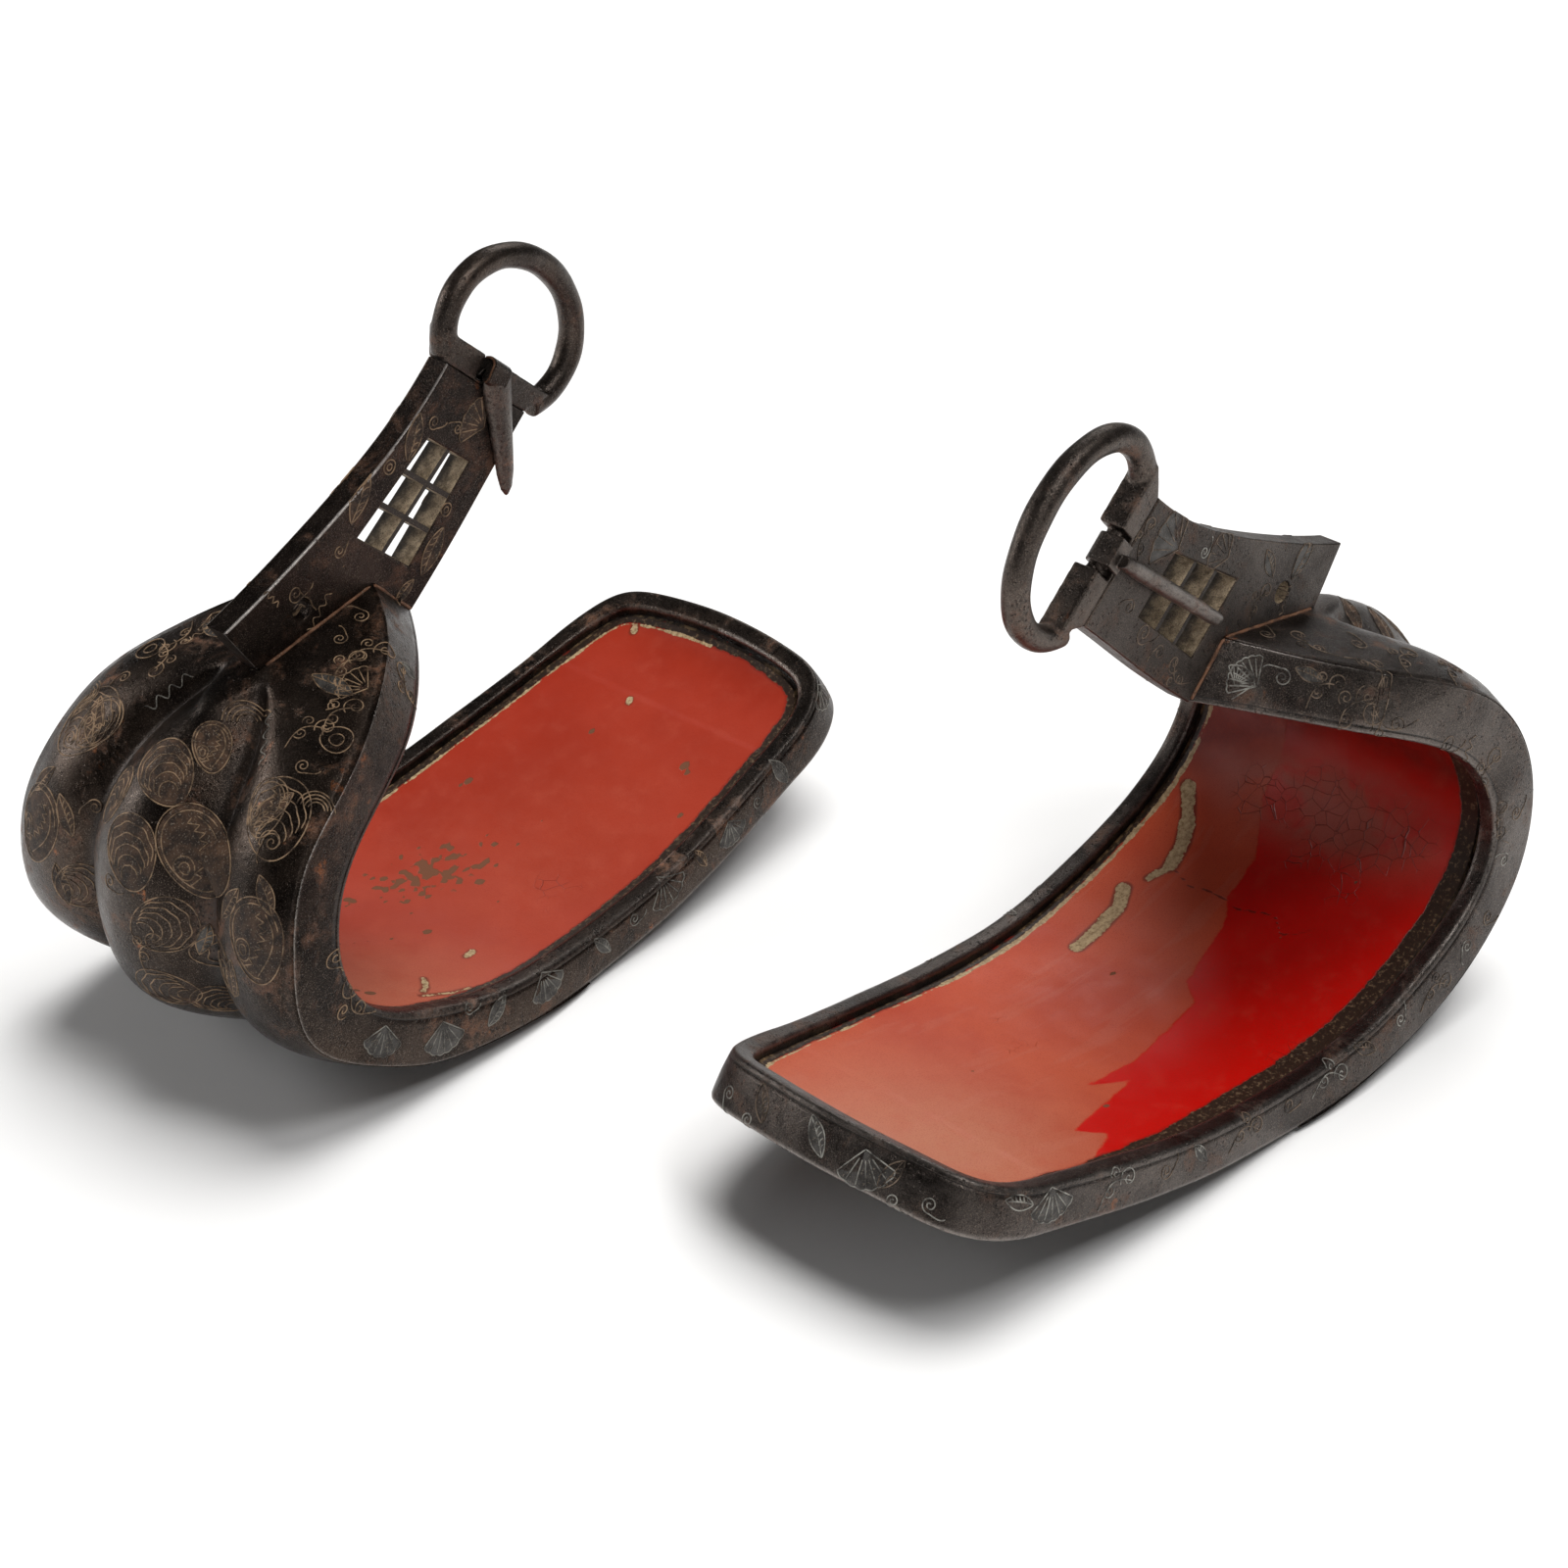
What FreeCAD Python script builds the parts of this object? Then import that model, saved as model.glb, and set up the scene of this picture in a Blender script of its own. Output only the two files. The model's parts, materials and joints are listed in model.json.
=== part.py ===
import FreeCAD, Part
import math
import os

# A pair of iron stirrups of the deep open-sided kind, mirror images of each other, lying head to toe.
# Each has a hook-shaped breast with three lobes, a shallow sole with a raised rim and a lacquered board,
# and an upright buckle plate with a strap ring and a loose prong. Lengths are in millimetres.
# A stirrup's own frame: x runs from the heel to the toe, s to its outer side, z up, with z = 0 on the floor.

V = FreeCAD.Vector

# Places of the two stirrups on the floor
row_spacing = 222.4
stagger = 193.8
splay_degrees = 1.9

# Body: the rim is the edge of the foot space
body_length = 248.0
half_width = 65.0
neck_height = 125.0
# The ridge, the edge between side band and breast, stands out from the rim
toe_flare = 20.0
side_flare = 3.0
neck_flare = 16.0
ridge_length = body_length + toe_flare
ridge_half_width = half_width + side_flare
ridge_height = neck_height + neck_flare
band_thickness = 6.8
heel_thickness = 7.8
edge_bevel = 1.3
shell_thickness = 2.6
sole_thickness = 2.6
seat_gap = 0.25
seam_gap = 0.05

# Footbed and its bedding, measured down from the top of the rim
recess_depth = 3.0
board_thickness = 4.6
board_margin = 2.4
bedding_thickness = 2.4
bedding_drop = 1.3

# Buckle plate
plate_thickness = 8.8
plate_length = 80.5
plate_offset = 8.7
plate_lean_degrees = 48.5
shoulder_half_width = 22.0
bar_height = 9.0
wing_reach = 12.0
wing_rise = 18.0
window_top_width = 22.0
window_foot_width = 27.5
window_from_bar = 32.0
window_from_seam = 10.5
window_length = plate_length - window_from_bar - window_from_seam
window_top_offset = 3.7
window_foot_offset = 10.6
blade_thickness = 1.8
blade_inset = 0.35
tie_hole_radius = 3.5
tie_hole_past_seam = 17.2
tie_hole_from_bar = plate_length + tie_hole_past_seam
tie_hole_offset = 33.4

# Strap ring and the neck that the prong turns on
ring_half_length = 31.4
ring_half_depth = 24.6
ring_from_bar = 10.0
ring_offset = -3.0
ring_radius = 4.3
notch_width = 14.0
notch_depth = 8.0
neck_radius = 2.3
neck_depth = 4.1

# Prong
prong_clearance = 0.3
head_width = 10.6
head_rise = 3.6
prong_radius = 2.9
prong_tip_radius = 2.2
right_prong_length = 68.0
left_prong_length = 57.0
left_prong_bend_degrees = 45.0
strip_thickness = 2.2

# Edges of the buckle plate, as shares of plate_length down from the bar and of shoulder_half_width across
front_edge_shares = [(0.37, 1.14), (0.90, 1.81)]
rear_edge_shares = [(0.35, -0.91), (0.67, -0.80)]

# Left shank: shares of left_prong_length and prong_radius. Right tip: angles at which its round end is cut.
left_shank_shares = [(0.0, 0.65), (0.14, 0.7), (0.4, 1.05), (0.8, 0.75), (1.0, 0.35)]
right_tip_degrees = [0, 25, 50, 72]

# One overrun for all cutting tools
overrun = 60.0

# Fineness of the rounded forms, which are made of flat facets
rows_per_station = 3
facets_per_lobe = 6
facets_round = 12
ring_segments = 30

# Stations along the rim from the neck to the middle of the heel, as shares of body_length,
# half_width and neck_height
rim_shares = [
    (0.634, 0.067, 1.000),
    (0.710, 0.415, 0.958),
    (0.802, 0.688, 0.888),
    (0.904, 0.826, 0.788),
    (0.976, 0.905, 0.662),
    (1.000, 0.968, 0.496),
    (0.976, 0.992, 0.372),
    (0.924, 1.000, 0.282),
    (0.845, 1.006, 0.212),
    (0.758, 1.006, 0.160),
    (0.592, 0.980, 0.134),
    (0.387, 0.955, 0.184),
    (0.161, 0.877, 0.298),
    (0.067, 0.812, 0.365),
    (0.029, 0.705, 0.404),
    (0.010, 0.475, 0.427),
    (0.000, 0.000, 0.437),
]
# The same stations along the ridge, as shares of ridge_length, ridge_half_width and ridge_height
ridge_shares = [
    (0.646, 0.065, 1.000),
    (0.709, 0.412, 0.957),
    (0.799, 0.662, 0.889),
    (0.888, 0.809, 0.809),
    (0.963, 0.862, 0.684),
    (1.000, 0.926, 0.498),
    (0.988, 0.950, 0.300),
    (0.903, 0.992, 0.163),
    (0.800, 1.000, 0.071),
    (0.688, 1.008, 0.035),
    (0.540, 0.965, 0.010),
    (0.338, 0.938, 0.066),
    (0.123, 0.862, 0.166),
    (0.035, 0.805, 0.221),
    (-0.003, 0.705, 0.254),
    (-0.023, 0.478, 0.275),
    (-0.032, 0.000, 0.285),
]
# Breast sections at stations 0 to 10: the angle of the section below level, then how far the crest of the
# side lobe, the groove and the middle lobe stand from the ridge, as shares of ridge_half_width
section_degrees = [11.0, 9.0, 4.0, 1.0, 2.0, 8.0, 22.0, 48.0, 72.0, 85.0, 90.0]
side_crest_shares = [0.35, 0.36, 0.27, 0.16, 0.10, 0.08, 0.06, 0.085, 0.095, 0.070, 0.021]
groove_shares = [0.66, 0.50, 0.18, 0.03, 0.01, -0.01, -0.03, 0.045, 0.070, 0.070, 0.021]
middle_crest_shares = [0.735, 0.72, 0.46, 0.34, 0.275, 0.205, 0.165, 0.130, 0.095, 0.072, 0.021]
# Their places across, as shares of the ridge's half width at the same station
side_crest_place_shares = [1.10, 0.68, 0.66, 0.68, 0.73, 0.72, 0.70, 0.66, 0.62, 0.62, 0.64]
groove_place_shares = [0.98, 0.30, 0.25, 0.35, 0.43, 0.44, 0.40, 0.33, 0.28, 0.28, 0.30]
# How far the inside of a lobe leans in, as shares of shell_thickness: its side at each station, and its groove
lean_in_shares = [0.6, 0.6, 0.0, 0.0, 0.0, 0.0, 0.0, 0.0, 0.0, 0.0, 0.0]
groove_lean_share = 0.4
# The band meets the plate at a slant there, and is no wider across than band_thickness over this share
least_slant_share = 0.45
# Near the neck, where the breast is narrow: its wall, inner edge and inner groove as shares of its half width
neck_wall_share = 0.5
neck_edge_share = 0.25
neck_groove_share = 0.125
# Points across the board, the bedding and the sole, as shares of the distance from the middle to the side
across_shares = [1.0, 0.5, 0.0, -0.5, -1.0]


def spline(points, values):
    """Cubic curve through the points at the given parameter values."""
    curve = Part.BSplineCurve()
    curve.interpolate(Points=points, Parameters=values)
    return curve


def triangle(a, b, c):
    return Part.Face(Part.makePolygon([a, b, c, a]))


def skin(rings):
    """Solid of flat facets through rings of points. A ring is a front row and a back row of equal length."""
    count = len(rings[0])
    faces = []
    for ring, following in zip(rings, rings[1:]):
        for j in range(count):
            faces.append(triangle(ring[j - 1], ring[j], following[j]))
            faces.append(triangle(ring[j - 1], following[j], following[j - 1]))
    for ring in (rings[0], rings[-1]):
        for j in range(count // 2 - 1):
            faces.append(triangle(ring[j], ring[j + 1], ring[-2 - j]))
            faces.append(triangle(ring[j], ring[-2 - j], ring[-1 - j]))
    shell = Part.makeShell(faces)
    shell.sewShape()
    return outward(Part.makeSolid(shell).removeSplitter())


def outward(solid):
    """The same solid with its faces turned outwards."""
    if solid.Volume < 0:
        solid.reverse()
    return solid


def through(rings, values, row_values):
    """Rings at the row values, on the cubic curves through the given rings at their own values."""
    curves = [spline([ring[j] for ring in rings], values) for j in range(len(rings[0]))]
    return [[curve.value(value) for curve in curves] for value in row_values]


def rows_between(first, final):
    """Parameter values from one station to another, with rows_per_station steps in each gap."""
    values = []
    for k in range(first, final):
        step = (stations[k + 1] - stations[k]) / rows_per_station
        values += [stations[k] + step * j for j in range(rows_per_station)]
    return values + [stations[final]]


def mirrored(point):
    return V(point.x, -point.y, point.z)


def chord_values(points):
    """Parameter values that grow with the distance between the points."""
    total = [0.0]
    for a, b in zip(points, points[1:]):
        total.append(total[-1] + (b - a).Length)
    return total


# Stations all the way round, and the curves through them
rim = [V(x * body_length, s * half_width, z * neck_height) for x, s, z in rim_shares]
rim[0].y = plate_thickness / 2
ridge = [V(x * ridge_length, s * ridge_half_width, z * ridge_height) for x, s, z in ridge_shares]
ridge[0].y = plate_thickness / 2
last = len(rim) - 1
ring_rim = rim + [mirrored(point) for point in reversed(rim[:-1])]
ring_ridge = ridge + [mirrored(point) for point in reversed(ridge[:-1])]
stations = chord_values(ring_rim)
rim_curve = spline(ring_rim, stations)
ridge_curve = spline(ring_ridge, stations)
breast_end = len(section_degrees) - 1
first_corner = breast_end + 2


def inward(value):
    """Unit vector from the outer face of the band to its inner face."""
    along = rim_curve.tangent(value)[0]
    down = ridge_curve.value(value) - rim_curve.value(value)
    return along.cross(down).normalize()


def thickness_step(number):
    """Vector through the band at a station, level along the sides and square to the rim at the heel."""
    if number >= 2 * last - first_corner:
        return mirrored(thickness_step(2 * last - number))
    normal = inward(stations[number])
    if number <= first_corner:
        return V(0, -band_thickness / max(abs(normal.y), least_slant_share), 0)
    if number == first_corner + 1:
        return normal * ((band_thickness + heel_thickness) / 2)
    return normal * heel_thickness


def band_ring(number):
    """Section of the iron band at a station, with bevelled edges."""
    a = ring_rim[number]
    b = ring_ridge[number]
    step = thickness_step(number)
    down = (b - a).normalize() * edge_bevel
    inner = V(step).normalize() * edge_bevel
    front = [a + inner, a + down, b - down, b + inner]
    back = [b + step - inner, b + step - down, a + step + down, a + step - inner]
    return front + back


def band(first, final):
    numbers = range(first, final + 1)
    values = [stations[k] for k in numbers]
    return skin(through([band_ring(k) for k in numbers], values, rows_between(first, final)))


def side_band():
    """Band of the outer side, from the buckle plate round the toe and along the sole."""
    reach = body_length + 2 * overrun
    far_side = Part.makeBox(reach, overrun, reach, V(-overrun, -overrun, -overrun))
    return band(0, first_corner).cut(far_side).cut(seam_prism())


def heel_rim():
    return band(first_corner, 2 * last - first_corner)


# Corners of the seam between the buckle plate and the body
neck_rear = V(rim[0].x, 0, rim[0].z)
neck_corner = V(ridge[0].x, 0, ridge[0].z)
first_angle = math.radians(section_degrees[0])
neck_front = neck_corner + V(math.cos(first_angle), 0, -math.sin(first_angle)) * (
    middle_crest_shares[0] * ridge_half_width
)
lean = math.radians(plate_lean_degrees)
down_plate = V(math.cos(lean), 0, -math.sin(lean))
across_plate = V(math.sin(lean), 0, math.cos(lean))
outward_side = V(0, 1, 0)
bar_middle = neck_corner - down_plate * plate_length - across_plate * plate_offset


def on_plate(down, across, side=0.0):
    """Point of the buckle plate, down from the straight bar and across towards the front."""
    return bar_middle + down_plate * down + across_plate * across + outward_side * side


def extruded(wire, half_thickness):
    face = Part.Face(wire)
    face.translate(V(0, -half_thickness, 0))
    return outward(face.extrude(V(0, 2 * half_thickness, 0)))


def prism(points, half_thickness):
    """Flat-sided solid about the middle plane."""
    return extruded(Part.makePolygon(points + [points[0]]), half_thickness)


wing_tip = neck_front + V(wing_reach, 0, wing_rise)


def seam_prism():
    """Space above the seam, which the body's pieces are trimmed to."""
    above = V(0, 0, overrun)
    behind = V(-overrun, 0, overrun)
    space = prism(
        [neck_rear, neck_corner, neck_front, wing_tip + above, bar_middle + above, neck_rear + behind],
        overrun,
    )
    space.translate(V(0, 0, -seam_gap))
    return space


# Breast
def lobe(start, middle, end):
    """Points of the smooth curve through three, one more than facets_per_lobe."""
    points = []
    for k in range(facets_per_lobe + 1):
        t = k / facets_per_lobe
        first, second, third = (1 - t) * (1 - 2 * t), 4 * t * (1 - t), t * (2 * t - 1)
        across = first * start[0] + second * middle[0] + third * end[0]
        height = first * start[1] + second * middle[1] + third * end[1]
        points.append((across, height))
    return points


def three_lobes(start, side, groove, crest):
    """Both side lobes and the middle one, from the outer side to the inner."""
    near = lobe(start, side, groove)
    middle = lobe(groove, crest, (-groove[0], groove[1]))
    far = [(-across, height) for across, height in reversed(near)]
    return near + middle[1:-1] + far


def breast_ring(number):
    """Section of the breast: three lobes outside, and the same a shell's thickness inside."""
    base = ridge[number]
    half = base.y
    angle = math.radians(section_degrees[number])
    out = V(math.cos(angle), 0, -math.sin(angle))
    wall = min(shell_thickness, half * neck_wall_share)
    side = (side_crest_place_shares[number] * half, side_crest_shares[number] * ridge_half_width)
    groove = (groove_place_shares[number] * half, groove_shares[number] * ridge_half_width)
    crest = (0.0, middle_crest_shares[number] * ridge_half_width)
    outside = three_lobes((half, seat_gap), side, groove, crest)
    inside = three_lobes(
        (max(half + thickness_step(number).y, half * neck_edge_share), seat_gap),
        (side[0] - wall * lean_in_shares[number], side[1] - wall),
        (max(groove[0] - wall * groove_lean_share, half * neck_groove_share), groove[1] - wall),
        (0.0, crest[1] - wall),
    )
    return [V(base.x, across, base.z) + out * height for across, height in outside + inside[::-1]]


def breast_plate(side_bands):
    numbers = range(0, breast_end + 1)
    rings = [breast_ring(k) for k in numbers]
    solid = skin(through(rings, [stations[k] for k in numbers], rows_between(0, breast_end)))
    return solid.cut(seam_prism()).cut(side_bands[0]).cut(side_bands[1])


# Board, bedding and sole, which lie between the two sides
inner_steps = [thickness_step(k) for k in range(len(ring_rim))]
inner_rim_curve = spline([point + step for point, step in zip(ring_rim, inner_steps)], stations)
inner_ridge_curve = spline([point + step for point, step in zip(ring_ridge, inner_steps)], stations)


def lying_point(value, depth, from_ridge, margin):
    """Point inside the band, a depth below the rim or below the ridge."""
    a = inner_rim_curve.value(value)
    b = inner_ridge_curve.value(value)
    down = (b - a).normalize()
    start = b if from_ridge else a
    step = -outward_side if value <= stations[first_corner] else inward(value)
    return start + down * depth + step * margin


def slab(values, upper, lower, from_ridge, margin):
    """Sheet from side to side, through rows at the given values, whose end follows the bow of the heel."""

    def row(value, depth):
        edge = lying_point(value, depth, from_ridge, margin)
        return [V(edge.x, edge.y * share, edge.z) for share in across_shares]

    def bowed_row(depth):
        numbers = range(last - 2, last + 3)
        return [lying_point(stations[k], depth, from_ridge, margin) for k in numbers]

    rings = [row(value, upper) + row(value, lower)[::-1] for value in values]
    rings.append(bowed_row(upper) + bowed_row(lower)[::-1])
    return skin(rings)


def footbed():
    values = rows_between(1, last - 2)[:-1]
    return slab(values, recess_depth, recess_depth + board_thickness, False, board_margin)


def bedding(board, heel):
    values = rows_between(1, last - 2)[:-1]
    floor = recess_depth + board_thickness + bedding_thickness
    return slab(values, recess_depth + bedding_drop, floor, False, seat_gap).cut(board).cut(heel)


def sole_plate(heel):
    values = rows_between(breast_end, last - 2)[:-1]
    values[0] += seat_gap
    return slab(values, -sole_thickness, 0, True, seat_gap).cut(heel)


# Buckle plate with its window
def buckle_plate():
    half = plate_thickness / 2
    front_top = on_plate(bar_height, shoulder_half_width)
    rear_top = on_plate(bar_height, -shoulder_half_width)
    front = [front_top]
    front += [on_plate(d * plate_length, q * shoulder_half_width) for d, q in front_edge_shares]
    front += [wing_tip]
    rear = [rear_top]
    rear += [on_plate(d * plate_length, q * shoulder_half_width) for d, q in rear_edge_shares]
    rear += [neck_rear]
    edges = [
        spline(front, chord_values(front)).toShape(),
        Part.makeLine(wing_tip, neck_front),
        Part.makeLine(neck_front, neck_corner),
        Part.makeLine(neck_corner, neck_rear),
        spline(rear, chord_values(rear)).toShape(),
        Part.makeLine(rear_top, front_top),
    ]
    solid = extruded(Part.Wire(Part.sortEdges(edges)[0]), half)
    solid = solid.cut(window_prism(plate_thickness))
    centre = on_plate(tie_hole_from_bar, tie_hole_offset, -overrun)
    return solid.cut(Part.makeCylinder(tie_hole_radius, 2 * overrun, centre, outward_side))


def window_side(share, side):
    """Point of the window's side, a share of the way down it."""
    width = window_top_width + (window_foot_width - window_top_width) * share
    offset = window_top_offset + (window_foot_offset - window_top_offset) * share
    return on_plate(window_from_bar + window_length * share, offset + side * width / 2)


def window_prism(half_thickness):
    return prism(
        [window_side(0, -1), window_side(0, 1), window_side(1, 1), window_side(1, -1)],
        half_thickness,
    )


def blade(start, end):
    """Thin strip on edge between two points, reaching past both."""
    along = (end - start).normalize()
    beside = along.cross(outward_side).normalize() * (blade_thickness / 2)
    extra = along * blade_thickness
    points = [start - extra + beside, end + extra + beside, end + extra - beside, start - extra - beside]
    return prism(points, plate_thickness / 2 - blade_inset)


def window_bars():
    """The long blade and the two across it, halved together where they cross."""
    opening = window_prism(plate_thickness)
    long_blade = blade(window_side(0, 0), window_side(1, 0)).common(opening)
    outer_half = Part.makeBox(
        2 * body_length, plate_thickness, 2 * body_length, V(-overrun, 0, -overrun)
    )
    cross_blades = []
    for share in (1 / 3, 2 / 3):
        across = blade(window_side(share, -1), window_side(share, 1)).common(opening)
        crossing = across.common(long_blade)
        cross_blades.append(across.cut(crossing.common(outer_half)))
        long_blade = long_blade.cut(crossing.cut(outer_half))
    return long_blade, cross_blades


# Strap ring and prongs
def round_ring(centre, level, upright, radius):
    """Ring of points about a centre, in the plane of two unit vectors."""
    turns = [2 * math.pi * (j + 0.5) / facets_round for j in range(facets_round)]
    return [centre + level * (radius * math.cos(turn)) + upright * (radius * math.sin(turn)) for turn in turns]


def on_oval(turn):
    """Point of the ring's centre line, at a turn from the front towards the far side."""
    across = ring_offset + ring_half_length * math.cos(turn)
    away = ring_half_depth * math.sin(turn)
    return on_plate(-ring_from_bar - away, across)


def strap_ring():
    """Oval ring of round iron on a straight bar, which is notched round the neck."""
    low = math.asin((ring_from_bar + bar_height) / (ring_half_depth + bar_height))
    rings = []
    for k in range(ring_segments + 1):
        turn = (math.pi + 2 * low) * k / ring_segments - low
        heading = down_plate * (-ring_half_depth * math.cos(turn)) - across_plate * (
            ring_half_length * math.sin(turn)
        )
        away = heading.cross(outward_side).normalize()
        rings.append(round_ring(on_oval(turn), away, outward_side, ring_radius))
    outline = [on_oval(2 * math.pi * k / (2 * ring_segments)) for k in range(2 * ring_segments)]
    wide = 2 * ring_half_length
    strip = plate_box(0, bar_height, wide)
    below = plate_box(bar_height, bar_height + overrun, wide)
    bar = prism(outline, plate_thickness / 2).common(strip)
    half_notch = notch_width / 2
    notch = plate_box(-ring_radius, notch_depth, half_notch)
    start = on_plate(neck_depth, -half_notch - neck_radius)
    neck = Part.makeCylinder(neck_radius, notch_width + 2 * neck_radius, start, across_plate)
    return skin(rings).cut(below).fuse(bar).cut(notch).fuse(neck).removeSplitter()


def plate_box(upper, lower, half_across):
    """Cutting block square to the buckle plate."""
    return prism(
        [
            on_plate(upper, -half_across),
            on_plate(upper, half_across),
            on_plate(lower, half_across),
            on_plate(lower, -half_across),
        ],
        overrun,
    )


def on_prong(up, across, side):
    """Point seen from the middle of the neck: towards the ring, towards the front, outwards."""
    return on_plate(neck_depth - up, across, side)


def prong_head(top_side):
    """Eye that turns on the neck, square towards the ring and round towards the plate."""
    half = head_width / 2
    under_side = plate_thickness / 2 + prong_clearance
    barrel = Part.makeCylinder(head_rise, head_width, on_prong(0, -half, 0), across_plate)
    outline = [
        on_prong(0, -half, 0),
        on_prong(head_rise, -half, 0),
        on_prong(head_rise, -half, top_side),
        on_prong(-head_rise, -half, top_side),
        on_prong(-head_rise, -half, under_side),
        on_prong(0, -half, under_side),
    ]
    block = Part.Face(Part.makePolygon(outline + [outline[0]])).extrude(across_plate * head_width)
    start = on_prong(0, -head_width, 0)
    eye = Part.makeCylinder(neck_radius + prong_clearance, 2 * head_width, start, across_plate)
    return barrel.fuse(outward(block)).cut(eye)


def right_prong():
    """Straight round prong that lies along the plate."""
    side = plate_thickness / 2 + prong_clearance + prong_radius
    head = prong_head(side + prong_radius)
    rings = [round_ring(on_prong(0, 0, side), across_plate, outward_side, prong_radius)]
    full = right_prong_length - prong_tip_radius
    for turn in right_tip_degrees:
        reach = full + prong_tip_radius * math.sin(math.radians(turn))
        radius = prong_tip_radius * math.cos(math.radians(turn))
        rings.append(round_ring(on_prong(-reach, 0, side), across_plate, outward_side, radius))
    return head.fuse(skin(rings)).removeSplitter()


def left_prong():
    """Worn prong with a half-round shank, bent askew below its eye."""
    side = plate_thickness / 2 + prong_clearance
    head = prong_head(side + strip_thickness)
    bend = math.radians(left_prong_bend_degrees)
    along = down_plate * math.cos(bend) - across_plate * math.sin(bend)
    beside = along.cross(outward_side)
    rings = []
    for length_share, radius_share in left_shank_shares:
        centre = on_prong(0, 0, side) + along * (left_prong_length * length_share)
        radius = prong_radius * radius_share
        turns = [math.pi * j / (facets_round / 2 + 1) for j in range(facets_round // 2 + 2)]
        rings.append(
            [centre + beside * (radius * math.cos(t)) + outward_side * (radius * math.sin(t)) for t in turns]
        )
    return head.fuse(skin(rings)).removeSplitter()


def placed(shape, name):
    """A shape of the stirrup's own frame, turned and put where its stirrup lies."""
    if name == "right":
        turned = shape.mirror(V(0, 0, 0), outward_side)
        turned.translate(V(-stagger / 2, -row_spacing / 2, 0))
        return turned
    turned = shape.copy()
    turned.rotate(V(0, 0, 0), V(0, 0, 1), 180 + splay_degrees)
    turned.translate(V(stagger / 2, row_spacing / 2, 0))
    return turned


def stirrup():
    near_band = side_band()
    far_band = near_band.mirror(V(0, 0, 0), outward_side)
    heel = heel_rim()
    board = footbed()
    long_blade, cross_blades = window_bars()
    return {
        "breast_plate": breast_plate([near_band, far_band]),
        "sole_plate": sole_plate(heel),
        "outer_side_band": near_band,
        "inner_side_band": far_band,
        "heel_rim": heel,
        "footbed": board,
        "footbed_bedding": bedding(board, heel),
        "buckle_plate": buckle_plate(),
        "window_bar": long_blade,
        "window_crossbars": Part.makeCompound(cross_blades),
        "strap_ring": strap_ring(),
    }


os.makedirs("parts", exist_ok=True)
pieces = stirrup()
pair = {}
for side_name, prong in (("left", left_prong()), ("right", right_prong())):
    for piece_name, piece in dict(pieces, prong=prong).items():
        pair[side_name + "_" + piece_name] = placed(piece, side_name)

# The origin lies on the floor, under the middle of the pair
overall = Part.makeCompound(list(pair.values())).BoundBox
to_origin = V(-overall.Center.x, -overall.Center.y, -overall.ZMin)
for node, piece in pair.items():
    piece.translate(to_origin)
    piece.exportStep("parts/" + node + ".step")
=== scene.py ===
import json
import math
import random

import bmesh
import bpy
import numpy as np
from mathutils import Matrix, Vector
from mathutils.bvhtree import BVHTree

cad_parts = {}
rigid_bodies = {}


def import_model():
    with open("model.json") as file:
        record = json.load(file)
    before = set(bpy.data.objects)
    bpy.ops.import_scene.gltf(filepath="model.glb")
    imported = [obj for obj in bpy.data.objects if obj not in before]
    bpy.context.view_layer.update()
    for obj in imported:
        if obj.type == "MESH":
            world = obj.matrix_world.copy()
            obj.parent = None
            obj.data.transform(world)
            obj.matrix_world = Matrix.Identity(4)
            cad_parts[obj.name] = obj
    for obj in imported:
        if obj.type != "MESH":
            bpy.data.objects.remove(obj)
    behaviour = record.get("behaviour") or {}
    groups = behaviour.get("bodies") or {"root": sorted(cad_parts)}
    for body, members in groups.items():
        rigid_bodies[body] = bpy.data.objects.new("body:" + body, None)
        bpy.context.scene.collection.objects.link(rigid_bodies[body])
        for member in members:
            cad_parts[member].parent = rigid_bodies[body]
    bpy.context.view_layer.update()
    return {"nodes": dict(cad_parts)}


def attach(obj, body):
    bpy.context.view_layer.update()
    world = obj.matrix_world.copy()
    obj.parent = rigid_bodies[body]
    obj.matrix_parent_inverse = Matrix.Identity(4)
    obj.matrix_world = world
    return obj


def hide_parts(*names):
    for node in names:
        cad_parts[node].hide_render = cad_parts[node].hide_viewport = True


# Dresses a pair of forged iron stirrups: iron with inlaid scrolls and shells, and old red lacquer on the footbeds.
# Lengths are in metres. A stirrup's own frame: x from the heel to the toe, y to its outer side, z up.
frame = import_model()

# Places of the stirrups, as in the part
row_spacing = 0.2224
stagger = 0.1938
splay = math.radians(1.9)
to_origin = np.array([-0.00008, 0.00286, 0.00031])

# Sizes of the part that the finer surfaces follow
body_length = 0.248
half_width = 0.065
neck_height = 0.125
ridge_length = 0.268
ridge_half_width = 0.068
ridge_height = 0.141
band_thickness = 0.0068
heel_thickness = 0.0078
shell_thickness = 0.0026
recess_depth = 0.003
board_thickness = 0.0046
board_margin = 0.0020
bedding_thickness = 0.0024
bedding_drop = 0.0012
plate_thickness = 0.0088
plate_length = 0.0805
plate_offset = 0.0087
plate_lean = math.radians(48.5)
shoulder_half_width = 0.022
bar_height = 0.009
wing_reach = 0.012
wing_rise = 0.018
window_length = 0.038
window_top_width = 0.022
window_foot_width = 0.0275
window_from_bar = 0.032
window_top_offset = 0.0037
window_foot_offset = 0.0106
tie_hole_radius = 0.0035
tie_hole_from_bar = 0.0977
tie_hole_offset = 0.0334
ring_half_length = 0.0314
ring_half_depth = 0.0246
ring_from_bar = 0.010
ring_offset = -0.003
ring_radius = 0.0043
notch_width = 0.014
notch_depth = 0.008
neck_radius = 0.0023
neck_depth = 0.0041
prong_clearance = 0.0003
head_width = 0.0106
head_rise = 0.0036
prong_radius = 0.0029
left_prong_length = 0.057
left_prong_bend = math.radians(45)
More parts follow.
